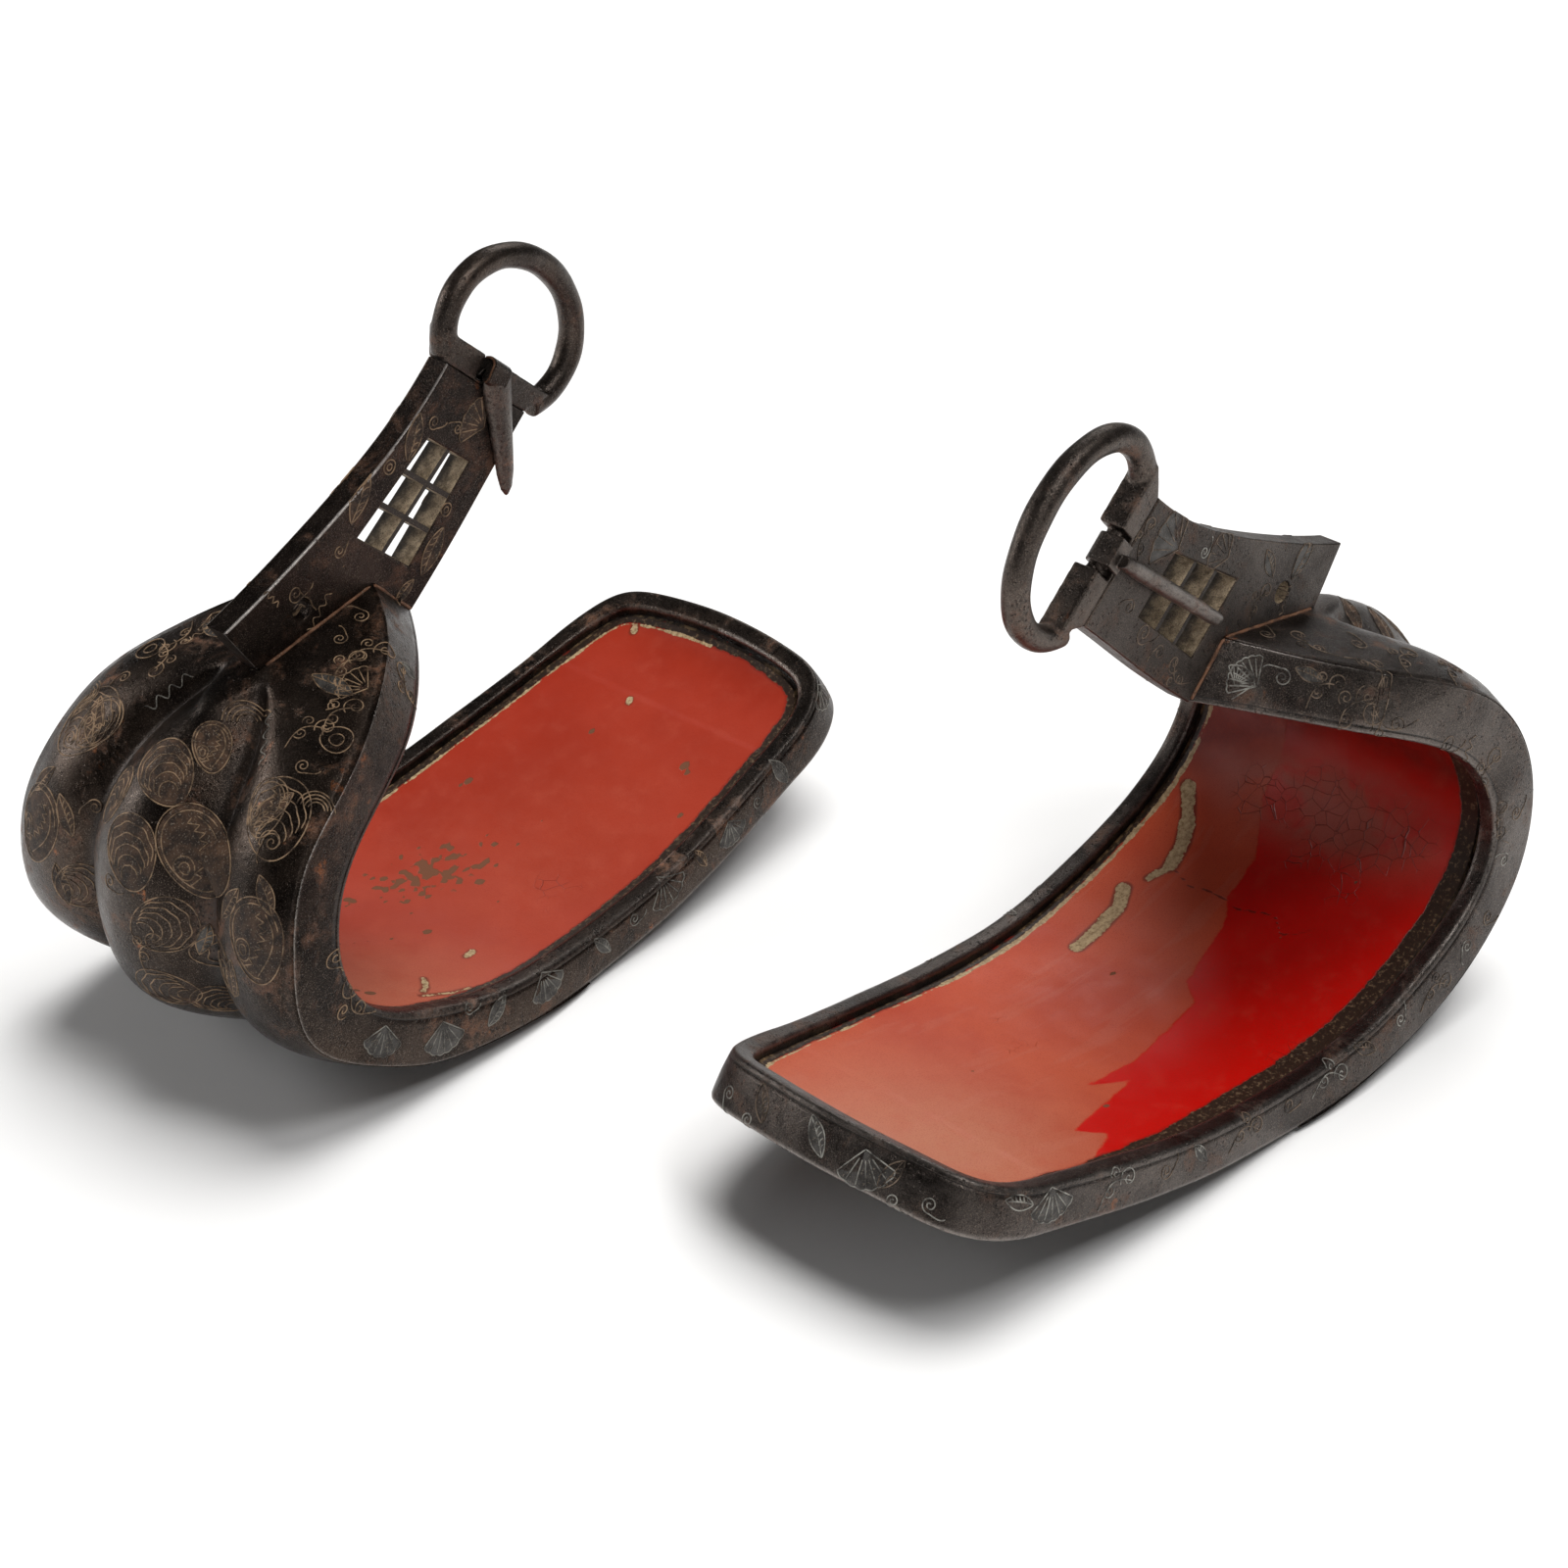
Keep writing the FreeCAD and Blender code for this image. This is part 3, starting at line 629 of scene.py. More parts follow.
def iron_band(side):
    sections = np.array([band_section(k) for k in range(len(stations))])
    values = np.linspace(0, stations[-1], 700)
    grid = spline(sections, stations, values)
    outer = values <= stations[last]
    grid[outer, :, 1] = np.maximum(grid[outer, :, 1], 0.0)
    grid[~outer, :, 1] = np.minimum(grid[~outer, :, 1], 0.0)
    grid = below_line(grid, neck_rear, neck_corner)
    grid = grid + ring_normals(grid) * wobble(grid, 0.011, 0.00014)[..., None]
    rows, columns = grid.shape[:2]
    wear, dirt = np.zeros((2, rows, columns))
    wear[:, 0:5] = [0.04, 0.12, 0.18, 0.10, 0.03]
    wear[:, 14:19] = [0.05, 0.20, 0.35, 0.20, 0.05]
    wear[:, 26:31] = [0.10, 0.30, 0.35, 0.15, 0.05]
    wear[:, 31:33] = 0.04
    wear[values > stations[last], 26:31] *= 0.3
    if side == "left":
        # painted highlight: a bright line along the left stirrup's ridge edge, added to the wear marks
        painted_highlight = np.exp(-(((values / stations[-1] - 0.095) / 0.032) ** 2))
        wear[:, 14:19] += np.outer(painted_highlight, [0.1, 0.7, 1.0, 0.7, 0.1])
    # painted shade: a dark line in the groove under the rim and a darker inner face of the band
    dirt[:, 6] = 0.9
    dirt[:, 22:26] = 0.6
    nodes = [side + name for name in ("_outer_side_band", "_inner_side_band", "_heel_rim")]
    dress(add_mesh("iron_band", side, grid, grid_faces(rows, columns)), [side + "_body"], nodes,
          {"wear": np.minimum(wear, 1), "dirt": dirt})


# ---- Breast

def lobe(start, middle, end):
    t = np.linspace(0, 1, lobe_steps + 1)[:, None]
    start, middle, end = np.array([start, middle, end])
    return (1 - t) * (1 - 2 * t) * start + 4 * t * (1 - t) * middle + t * (2 * t - 1) * end


def three_lobes(start, side, groove, crest):
    near = lobe(start, side, groove)
    middle = lobe(groove, crest, (-groove[0], groove[1]))
    return np.vstack([near, middle[1:-1], near[::-1] * [-1, 1]])


def breast_section(number):
    """Outer and inner line of the breast at a station."""
    base = ridge[number]
    half = base[1]
    angle = math.radians(section_degrees[number])
    out = np.array([math.cos(angle), 0, -math.sin(angle)])
    wall = min(shell_thickness, half / 2)
    side = (side_crest_place_shares[number] * half, side_crest_shares[number] * ridge_half_width)
    groove = (groove_place_shares[number] * half, groove_shares[number] * ridge_half_width)
    crest = (0.0, middle_crest_shares[number] * ridge_half_width)
    outside = three_lobes((half, 0.0), side, groove, crest)
    inside = three_lobes(
        (max(half + steps[number][1], half / 4), 0.0002),
        (side[0] - wall * (0.6 if number < 2 else 0), side[1] - wall),
        (max(groove[0] - wall * 0.4, half / 8), groove[1] - wall),
        (0.0, crest[1] - wall),
    )
    line = np.vstack([outside, inside[::-1]])
    return base * [1, 0, 1] + np.outer(line[:, 0], outward) + np.outer(line[:, 1], out)


def breast(side):
    sections = np.array([breast_section(k) for k in range(breast_end + 1)])
    grid = spline(sections, stations[: breast_end + 1], np.linspace(0, stations[breast_end], 190))
    grid = below_line(grid, neck_corner, neck_front)
    outside = 3 * lobe_steps + 1
    shift = wobble(grid, 0.016, 0.00025, 1.0)
    shift[:, outside:] = 0
    grid = grid + ring_normals(grid) * shift[..., None]
    grid[..., 2] = np.maximum(grid[..., 2], 0.0001 - to_origin[2])
    rows, columns = grid.shape[:2]
    across = np.abs(np.sin(np.linspace(0, 3 * math.pi, outside)))
    wear, dirt = np.zeros((2, rows, columns))
    wear[:, :outside] = 0.03 * across**3
    # painted shade: darker in the grooves between the lobes
    dirt[:, :outside] = 0.55 * np.clip(1 - 3.2 * across, 0, 1)
    dirt[:, [0, outside - 1]] = 0
    dress(add_mesh("breast", side, grid, grid_faces(rows, columns)), [side + "_body"],
          [side + "_breast_plate"], {"wear": wear, "dirt": dirt})


# ---- Footbed board and the ground it lies on

def lying_rows(values, depth, margin, columns):
    """Grid of points from side to side, a depth below the rim and a margin inside it."""
    rim_inside = spline(ring_rim + steps, stations, values)
    down = unit(spline(ring_ridge + steps, stations, values) - rim_inside)
    inward = inward_at(values)
    inward[values <= stations[first_corner]] = [0, -1, 0]
    edge = rim_inside + down * depth + inward * margin
    share = (1 - np.cos(np.linspace(0, math.pi, columns))) / 2
    return edge[:, None, :] + (mirrored(edge) - edge)[:, None, :] * share[None, :, None]


def bed_grid(depth, margin, rows=260, columns=110):
    """Grid from the neck to the heel whose last rows bend over to the bow of the heel."""
    end, middle = stations[last - 2], stations[last]
    grid = lying_rows(np.linspace(stations[1], end, rows), depth, margin, columns)
    bow_values = middle + (np.linspace(0, 1, columns) - 0.5) * 2 * (middle - end)
    bow = lying_rows(np.minimum(bow_values, 2 * middle - bow_values), depth, margin, 2)[:, 0]
    edge = np.where((bow_values <= middle)[:, None], bow, mirrored(bow))
    t = np.linspace(0, 1, 20)[1:, None, None]
    return np.vstack([grid, grid[-1] * (1 - t) + edge * t])


def from_line(points, line):
    """Distance of points from an open line, all in millimetres."""
    line = np.array(line, float)
    best = np.full(len(points), 1e3)
    for a, b in zip(line[:-1], line[1:]):
        ab = b - a
        t = np.clip(((points - a) @ ab) / max(ab @ ab, 1e-9), 0, 1)
        best = np.minimum(best, np.linalg.norm(points - a - t[:, None] * ab, axis=1))
    return best


def within(points, outline):
    """Signed distance of points from a closed outline, positive inside."""
    outline = np.array(outline, float)
    inside = np.zeros(len(points), bool)
    for a, b in zip(outline, np.roll(outline, -1, axis=0)):
        crosses = (a[1] > points[:, 1]) != (b[1] > points[:, 1])
        where = a[0] + (points[:, 1] - a[1]) * (b[0] - a[0]) / (b[1] - a[1] if b[1] != a[1] else 1)
        inside ^= crosses & (points[:, 0] < where)
    return np.where(inside, 1, -1) * from_line(points, np.vstack([outline, outline[:1]]))


def patch(points, centre, reach):
    """Soft round patch: 1 at its centre, falling off with the distance."""
    return np.exp(-(((points - centre) / reach) ** 2).sum(1))


# Marks of age on the footbeds, in millimetres along and across a stirrup, with half widths or radii
deep_area = [
    (208, -10), (197, -4), (183, -1), (169, 3), (162, 11), (148, 13), (124, 17), (97, 18), (112, 24),
    (70, 34), (78, 41), (58, 51), (100, 70), (330, 70), (330, -20), (250, -22), (224, -12),
]
losses = {
    "left": [
        ([(196, 41), (200, 46), (203, 48)], 0.8), ([(170, 37), (174, 38)], 0.9), ([(41, -11), (43, -10)], 0.7),
        ([(13, -34), (15, -33)], 1.1), ([(206, 50), (195, 53), (188, 54)], 0.5),
    ],
    "right": [
        ([(241, -49), (236, -46), (228, -42), (218, -37), (209, -35)], 2.5),
        ([(193, -42), (185, -38), (176, -37), (161, -36)], 2.5), ([(209, -35), (201, -38)], 1.2),
    ],
}
cracks = {
    "left": ([(224, 8), (216, 9), (205, 6), (196, 9), (188, 12)], 0.25),
    "right": ([(208, -32), (205, -24), (207, -15), (205, -4), (209, 8), (203, 15), (205, 18), (210, 23)], 0.5),
}
pits = {
    "left": [
        (101, -33, 1.6), (104, -34, 0.9), (172, 18, 1.7), (221, 43, 1.8), (224, 40, 1.3), (57, 29, 1.9), (59, 32, 1.2),
        (76, 44, 1.2), (60, -12, 1.3), (116, 5, 1.0), (143, 22, 0.8), (184, 14, 0.9), (88, 12, 0.7),
    ],
    "right": [
        (157, -18, 1.1), (232, 24, 1.0), (202, 15, 0.8), (92, 30, 1.2), (118, -4, 0.6), (74, -8, 0.7), (150, 34, 0.5),
    ],
}
pit_field = random.Random(5)
for _ in range(140):
    reach = pit_field.gauss(0, 1)
    pits["left"].append((
        146 + 12 * reach, -8 - 1 * reach + pit_field.gauss(0, 7.0), pit_field.choice([0.6, 0.8, 0.9, 1.1, 1.4]),
    ))


def nearest_mark(depths):
    """How far inside the nearest of several marks each point lies, or -9 well away from them all."""
    return np.max(depths, axis=0, initial=-9.0)


def board_marks(side, ring):
    """Where the lacquer is pale (on the left a painted reflection), deep, cracked, pitted or lost, and where painted
    shadow lies under the neck, as shares or as distances in millimetres.
    """
    local = ring.reshape(-1, 3) * 1000
    flat = local[:, :2].copy()
    if side == "right":
        flat[:, 0] += 0.8 * np.maximum(local[:, 2] - 30, 0) * (flat[:, 0] > 200)
    half = ring.shape[1] // 2
    rim_line = np.vstack([ring[:, 0], ring[-1, 1 : half - 1], ring[::-1, half - 1]]) * 1000
    edge = np.minimum(from_line(local, rim_line), 14.0)
    along, across = flat.T
    near = across > 0
    crack, crack_width = cracks[side]
    marks = {
        "loss": nearest_mark([radius - from_line(flat, line) for line, radius in losses[side]]),
        "pit": nearest_mark([r - np.linalg.norm((flat - (x, y)) * (0.8, 1.2), axis=1) for x, y, r in pits[side]]),
        "crack": crack_width - from_line(flat, crack),
    }
    if side == "left":
        marks["crackle"] = 0.10 * patch(flat, (205, 15), (30, 40)) - 0.06
        # painted reflection: the left board paler toward its toe
        marks["pale"] = np.maximum(patch(flat, (225, 45), (55, 45)), 0.25 * patch(flat, (150, 20), (90, 60)))
        marks["crust"] = np.where(near, 2.5, 2.8) - edge
        border = 0.5 - np.abs(edge - 3.0)
    else:
        marks["crackle"] = 0.42 * patch(flat, (256, -4), (20, 44)) - 0.06
        marks["pale"] = patch(flat, (20, 20), (60, 60))
        marks["web"] = np.minimum(1.5 * patch(flat, (255, -4), (17, 40)), 0.9)
        marks["deep"] = np.clip(within(flat, deep_area), -20, 20)
        # painted shadow: darker at the toe and high up under the neck
        toe = 0.45 * np.clip((along - 264) / 20, 0, 1) * np.clip((across + 30) / 30, 0.45, 1)
        high = local[:, 2] - 60 - 0.5 * np.minimum(across, 0)
        marks["dusky"] = np.maximum(toe, 0.9 * np.clip(high / 14, 0, 1) * (along > 150))
        marks["crust"] = np.where(near, 1.2 + 5.0 * np.clip((along - 50) / 70, 0, 1), 1.8) - edge
        border = np.where((along > 110) & (along < 262), 0.9, 0.35) - np.abs(edge - 2.4)
    marks["border"] = np.where(near, -2.0, border)
    return marks


def bed(name, side, upper, lower, margin, unevenness, material, node):
    top, bottom = bed_grid(upper, margin), bed_grid(lower, margin)
    ring = np.concatenate([top, bottom[:, ::-1]], axis=1)
    rows, columns = ring.shape[:2]
    amount = wobble(top, 0.02, unevenness, 2.0) + wobble(top, 0.006, unevenness * 0.4, 5.0)
    ring[:, : top.shape[1]] += unit(top - bottom) * amount[..., None]
    faces = grid_faces(rows, columns, caps=False)
    for k in (0, (rows - 1) * columns):
        for j in range(columns // 2 - 1):
            faces.append((k + j, k + j + 1, k + columns - 2 - j, k + columns - 1 - j))
    marks = board_marks(side, ring) if name == "board" else {}
    dress(add_mesh(name, side, ring, faces), [material], [side + "_" + node], marks)


# ---- Buckle plate with its window

def plate_outline():
    """Edge of the buckle plate as pairs of down and across."""
    def local(point):
        return (point - bar_middle) @ down_plate, (point - bar_middle) @ across_plate

    def edge(sign, shares, end):
        middle = [(d * plate_length, q * shoulder_half_width) for d, q in shares]
        return redrawn([(bar_height, sign * shoulder_half_width), *middle, local(end)], 40)

    front, rear = edge(1, front_edge_shares, wing_tip), edge(-1, rear_edge_shares, neck_rear)
    return np.vstack([front, [local(neck_front)], [local(neck_corner)], rear[::-1]])


def window_at(share):
    """Middle and width of the window across the plate, at a share of its length."""
    middle = window_top_offset + (window_foot_offset - window_top_offset) * share
    return middle, window_top_width + (window_foot_width - window_top_width) * share


def polar(turns, radius=1.0):
    return np.column_stack([np.cos(turns), np.sin(turns)]) * np.reshape(radius, (-1, 1))


def cut_sheet(name, side, outlines, thickness, bevel):
    """Flat sheet with bevelled edges and holes, from closed outlines of down and across."""
    curve = bpy.data.curves.new(name, "CURVE")
    curve.dimensions = "2D"
    curve.fill_mode = "BOTH"
    curve.extrude = thickness / 2 - bevel
    curve.bevel_depth = bevel
    curve.bevel_resolution = 2
    curve.offset = -bevel
    for outline in outlines:
        line = curve.splines.new("POLY")
        line.points.add(len(outline) - 1)
        for point, (down, across) in zip(line.points, outline):
            point.co = (down, across, 0, 1)
        line.use_cyclic_u = True
    holder = bpy.data.objects.new(name, curve)
    bpy.context.scene.collection.objects.link(holder)
    mesh = bpy.data.meshes.new_from_object(holder.evaluated_get(bpy.context.evaluated_depsgraph_get()))
    points = [on_plate(*vertex.co) for vertex in mesh.vertices]
    faces = [tuple(p.vertices) for p in mesh.polygons]
    bpy.data.objects.remove(holder)
    bpy.data.meshes.remove(mesh)
    return add_mesh(name, side, points, faces, smooth=False)


def buckle_plate(side):
    window = []
    for share, sign in ((0, -1), (0, 1), (1, 1), (1, -1)):
        middle, width = window_at(share)
        window.append((window_from_bar + window_length * share, middle + sign * width / 2))
    turns = np.linspace(0, 2 * math.pi, 36, endpoint=False)
    hole = polar(turns, tie_hole_radius) + (tie_hole_from_bar, tie_hole_offset)
    piece = cut_sheet("plate", side, [plate_outline(), window, hole], plate_thickness, plate_bevel)
    turn_outwards(piece.data, weld=1e-5)
    dress(piece, [side + "_plate", "bright", side + "_walls", side + "_ring"],
          [side + "_buckle_plate"])
    flat, front_chamfer, walls, edges = range(4)
    start, down, across = placed([bar_middle, bar_middle + down_plate, bar_middle + across_plate], side)
    down, across = down - start, across - start
    for polygon in piece.data.polygons:
        lean = abs(polygon.normal.y)
        centre = np.array(polygon.center) - start
        d, a = centre @ down, centre @ across
        share = (d - window_from_bar) / window_length
        middle, width = window_at(share)
        if lean > 0.97:
            polygon.material_index = flat
        elif -0.04 < share < 1.04 and abs(a - middle) < width / 2 + 0.001:
            polygon.material_index = walls if lean < 0.3 else edges
        elif math.hypot(d - tie_hole_from_bar, a - tie_hole_offset) < 0.0044:
            polygon.material_index = walls if side == "right" and lean < 0.3 else flat
        elif lean > 0.15:
            # the left plate's front chamfer takes the painted highlight
            in_front = side == "left" and polygon.normal.dot(Vector(across)) > 0.2
            polygon.material_index = front_chamfer if in_front else edges


# ---- Seam, ring, bar and prongs

def tube(centres, levels, uprights, radii, count=32, half=False):
    """Closed tube through rings; a half tube is flat on its lower side."""
    turns = np.linspace(0, math.pi, count) if half else np.linspace(0, 2 * math.pi, count, endpoint=False)
    rows = []
    for centre, level, upright, radius in zip(centres, levels, uprights, radii):
        rows.append(centre + np.outer(np.cos(turns), level) * radius + np.outer(np.sin(turns), upright) * radius)
    return np.vstack(rows), grid_faces(len(rows), count)


def block(down, across, side):
    """Closed box in the plate's directions, from pairs of limits."""
    points = [on_plate(d, a, s) for d in down for a in across for s in side]
    faces = [(0, 1, 3, 2), (4, 6, 7, 5), (0, 4, 5, 1), (2, 3, 7, 6), (0, 2, 6, 4), (1, 5, 7, 3)]
    return np.array(points), faces


def cross_rod(half, radius, count=32):
    """Round rod across the plate, at the neck."""
    ends = [on_plate(neck_depth, a) for a in (-half, half)]
    return tube(ends, [down_plate] * 2, [outward] * 2, [radius] * 2, count)


def seam_bead(side):
    """Brazed seam between the foot of the buckle plate and the neck, on both faces of the plate."""
    beads = []
    for sign in (-1, 1):
        line = np.vstack([straight(neck_front, neck_corner, 16), straight(neck_corner, neck_rear, 16)])
        line = line + outward * (sign * (plate_thickness / 2 + 0.0001))
        line = line + np.column_stack([
            wobble(line, 0.002, 0.0002), np.zeros(len(line)), wobble(line, 0.003, 0.0002, 2.0),
        ])
        headings = unit(np.gradient(line, axis=0))
        radii = seam_radius + wobble(line, 0.0015, 0.00015, 1.0)
        beads.append(tube(line, np.cross(headings, outward), [outward] * len(line), radii, 12))
    dress(add_mesh("seam", side, *merged(beads)), ["seam"])


def remeshed(name, side, parts, voxel, rounds, body="stirrups"):
    """One smooth forged piece from overlapping closed meshes."""
    piece = add_mesh(name, side, *merged(parts), body)
    modifier = piece.modifiers.new("remesh", "REMESH")
    modifier.mode = "VOXEL"
    modifier.voxel_size = voxel
    smoothing = piece.modifiers.new("smooth", "SMOOTH")
    smoothing.factor = 0.5
    smoothing.iterations = rounds
    mesh = bpy.data.meshes.new_from_object(piece.evaluated_get(bpy.context.evaluated_depsgraph_get()))
    piece.modifiers.clear()
    old, piece.data = piece.data, mesh
    bpy.data.meshes.remove(old)
    mesh.name = side + "_" + name
    mesh.polygons.foreach_set("use_smooth", [True] * len(mesh.polygons))
    return piece


def strap_ring(side):
    foot_turn = 0.70
    turns = np.linspace(-foot_turn, math.pi + foot_turn, 90)
    centres = np.array([
        on_plate(-ring_from_bar - ring_half_depth * math.sin(t), ring_offset + ring_half_length * math.cos(t))
        for t in turns
    ])
    aways = unit(np.cross(unit(np.gradient(centres, axis=0)), outward))
    radii = ring_radius * (1 + 0.02 * np.sin(turns * 5) + 0.015 * np.sin(turns * 11 + 1))
    parts = [tube(centres, aways, [outward] * len(turns), radii)]
    half, half_notch = plate_thickness / 2, notch_width / 2
    reach = math.sqrt(1 - (ring_from_bar / ring_half_depth) ** 2) * ring_half_length
    outline = [(0, half_notch), (0, reach), (bar_height, shoulder_half_width), (bar_height, half_notch)]
    faces = [(0, 1, 2, 3), (4, 5, 6, 7)] + [(k, (k + 1) % 4, (k + 1) % 4 + 4, k + 4) for k in range(4)]
    for sign in (-1, 1):
        parts.append((np.array([on_plate(d, sign * a, s) for s in (-half, half) for d, a in outline]), faces))
    parts.append(block((notch_depth, bar_height), (-half_notch, half_notch), (-half, half)))
    parts.append(cross_rod(half_notch + 0.003, neck_radius, 24))
    piece = remeshed("ring", side, parts, 0.00045, 16)
    dress(piece, [side + "_ring"], [side + "_strap_ring"], {"wear": [0.05] * len(piece.data.vertices)})


prong_face = plate_thickness / 2 + prong_clearance


def prong_head(half, height, cut):
    """Head of a prong that holds the neck: a block on the plate, its rear wall and its round eye."""
    rear, front, top = neck_depth - head_rise, neck_depth + head_rise - cut, prong_face + height
    return [
        block((rear, front), (-half, half), (prong_face, top)), block((rear, neck_depth), (-half, half), (-0.001, top)),
        cross_rod(half, head_rise),
    ]


def right_prong():
    lengths = np.array([0.0, 0.004, 0.012, 0.03, 0.05, 0.060, 0.0655, 0.0672, 0.0679]) * right_shank_share
    radii = [0.0020, 0.0025, 0.0027, 0.0027, 0.0025, 0.0024, 0.0023, 0.0020, 0.0012]
    c, s = math.cos(right_shank_turn), math.sin(right_shank_turn)
    centres = [on_plate(neck_depth + r * c, -0.001 + r * s, prong_face + prong_radius) for r in lengths]
    parts = [tube(centres, [across_plate] * 9, [outward] * 9, radii)]
    parts += prong_head(head_width / 2 - 0.0006, 0.0016, 0.0004)
    piece = remeshed("prong_piece", "right", parts, 0.0003, 4, "right_prong")
    start, way = placed([on_plate(neck_depth, 0), on_plate(neck_depth, 0) + down_plate], "right")
    places = np.array([vertex.co for vertex in piece.data.vertices])
    wear = np.where((places - start) @ (way - start) > head_rise + 0.002, 0.16, 0.04)
    dress(piece, ["worn"], ["right_prong"], {"wear": wear})


def left_prong():
    along = down_plate * math.cos(left_prong_bend) - across_plate * math.sin(left_prong_bend)
    beside = np.cross(along, outward)
    reach_shares = np.array([0.0, 0.08, 0.2, 0.4, 0.6, 0.8, 0.93, 1.0]) * left_shank_share * 0.995
    radii = np.array([1.20, 1.22, 1.20, 1.12, 1.02, 0.90, 0.62, 0.16]) * prong_radius
    levels = [beside * width for width in (1.7, 1.75, 1.65, 1.5, 1.45, 1.4, 1.4, 1.6)]
    centres = [on_plate(neck_depth, 0, prong_face) + along * (left_prong_length * s) for s in reach_shares]
    parts = [tube(centres, levels, [outward] * 8, radii, 16, True)]
    parts += prong_head(head_width / 2 - 0.0004, strip_thickness, 0.0)
    piece = remeshed("prong_piece", "left", parts, 0.0003, 4, "left_prong")
    dress(piece, ["left_ring"], ["left_prong"], {"wear": [0.12] * len(piece.data.vertices)})


def left_strip():
    """Folded strip that holds the left prong to the bar, with rusty cut edges."""
    side = prong_face + strip_thickness
    rear, front = neck_depth - head_rise, neck_depth + head_rise
    bent = [
        (rear + 0.0004, side - 0.0042), (rear + 0.0002, side - 0.001), (rear + 0.0009, side + 0.0001),
        (neck_depth, side + 0.0005), (front - 0.0008, side + 0.0001), (front, side - 0.0008),
    ]
    line = redrawn([on_plate(d, 0.0, s) for d, s in bent], 30)
    lifts = unit(np.cross(across_plate, unit(np.gradient(line, axis=0))))
    lifts *= np.sign(lifts[15] @ outward)
    rows = []
    for place, lift, share in zip(line, lifts, np.linspace(0, 1, 30)):
        half = (head_width / 2 - 0.0002) * (1.0 - 0.12 * share)
        place = place + across_plate * 0.0010 * math.sin(share * 3)
        profile = [(-half, 0), (-half, 0.0007), (0.0006 - half, 0.0009)]
        profile += [(-across, height) for across, height in profile[::-1]]
        rows += [place + across_plate * across + lift * height for across, height in profile]
    piece = add_mesh("prong_strip", "left", rows, grid_faces(30, 6), "left_prong", False)
    dress(piece, ["left_ring", "seam"])
    for polygon in piece.data.polygons[: 29 * 6]:
        polygon.material_index = 1 if polygon.index % 6 in (0, 4) else 0


# ---- Ornament: motifs in a unit square, x to the right and y up. Each gives its lines and the outlines of its leaves.

def oval(share=1.0, wide=0.78, turns=np.linspace(0, 2 * math.pi, 40)):
    y = np.sin(turns)
    return np.column_stack([wide * np.cos(turns) * (1 + 0.16 * y), y]) * share


def waved(steps, x, x_reach, x_turn, y, y_reach):
    return np.column_stack([x + x_reach * np.sin(steps * x_turn), y + y_reach * steps])


def shell():
    """Clam shell: an egg-shaped outline with scalloped ribs about its hinge."""
    hinge = np.array([-0.1, -0.92])
    turns = np.linspace(-0.15, math.pi + 0.15, 34)
    edge = oval(1.0, 0.78, turns)
    scallops = (1 + 0.035 * np.sin(turns * 9))[:, None]
    ribs = [(hinge + (edge - hinge) * share) * scallops for share in (0.88, 0.74, 0.60, 0.46, 0.32)]
    return [oval(), *ribs], [oval()]


def toothed():
    """Shell seen open: two outlines, a row of teeth and a small ringed eye."""
    outline = oval(1.0, 0.70)
    steps = np.linspace(0, 1, 15)
    teeth = waved(steps, -0.30, 0.62, 2.2, -0.72, 1.38)
    teeth[1::2] += [-0.17, 0.03]
    eye = np.array([-0.34, -0.22])
    band = waved(steps, -0.02, 0.50, 2.4, -0.80, 1.45)
    return [outline, oval(0.86, 0.70)[2:-9], teeth, band, oval(0.26) + eye, oval(0.13) + eye], [outline]


def leaf():
    """Pointed leaf with a vein and side veins."""
    steps = np.linspace(0, 1, 18)
    side = np.column_stack([0.42 * np.sin(steps * math.pi) ** 0.85, -1 + 2 * steps])
    outline = np.vstack([side, side[::-1] * [-1, 1]])
    lines = [outline, waved(steps, 0, 0.06, 4, -1, 1.9)]
    for k in range(5):
        y = -0.55 + 1.1 * k / 4
        reach = 0.34 * math.sin((y + 1.25) / 2.3 * math.pi)
        lines.append(np.array([[0.0, y - 0.15], [reach * 0.5, y + 0.05], [reach, y + 0.12]]))
    return lines, [outline]


def fan(ribs=6):
    """Scallop fan on a narrow foot."""
    hinge = np.array([0.0, -0.8])
    turns = np.linspace(-1.0, 1.0, 61)
    radius = 1.62 + 0.07 * np.abs(np.sin((turns + 1.0) / 2.0 * ribs * math.pi))
    outline = np.vstack([[hinge], hinge + polar(turns, radius)[:, ::-1], [hinge]])
    lines = [outline]
    for k in range(1, ribs):
        turn = -1.0 + 2.0 * k / ribs
        lines.append(hinge + np.outer(np.linspace(0.45, 1.55, 8), [math.sin(turn), math.cos(turn)]))
    return lines, [outline]


def curl():
    """Scroll that ends in a spiral."""
    turns = np.linspace(0.4, 3.4 * math.pi, 46)
    spiral = polar(turns, 0.05 + 0.055 * turns)
    steps = np.linspace(0, 1, 14)[1:, None]
    tail = spiral[-1] + steps * [1.15, -0.55] + np.sin(steps * math.pi) * [0.1, -0.25]
    return [np.vstack([spiral, tail])], []


def branch():
    """Long stem with a spiral at its end and two small ones beside it."""
    steps = np.linspace(0, 1, 26)
    lines = [np.column_stack([-1 + 1.7 * steps, -0.35 + 0.55 * np.sin(steps * 3.0)])]
    turns = np.linspace(0.5, 3.0 * math.pi, 32)
    for x, y, size, flip in ((0.62, -0.10, 0.42, 1), (-0.30, 0.02, 0.26, -1), (0.15, 0.42, 0.24, 1)):
        lines.append(polar(turns, size * (0.06 + 0.10 * turns)) * [1, flip] + [x, y])
    return lines, []


def ripple():
    """Short wavy line."""
    steps = np.linspace(-1, 1, 41)
    return [np.column_stack([steps, 0.16 * np.sin(steps * 11) + 0.1 * steps])], []


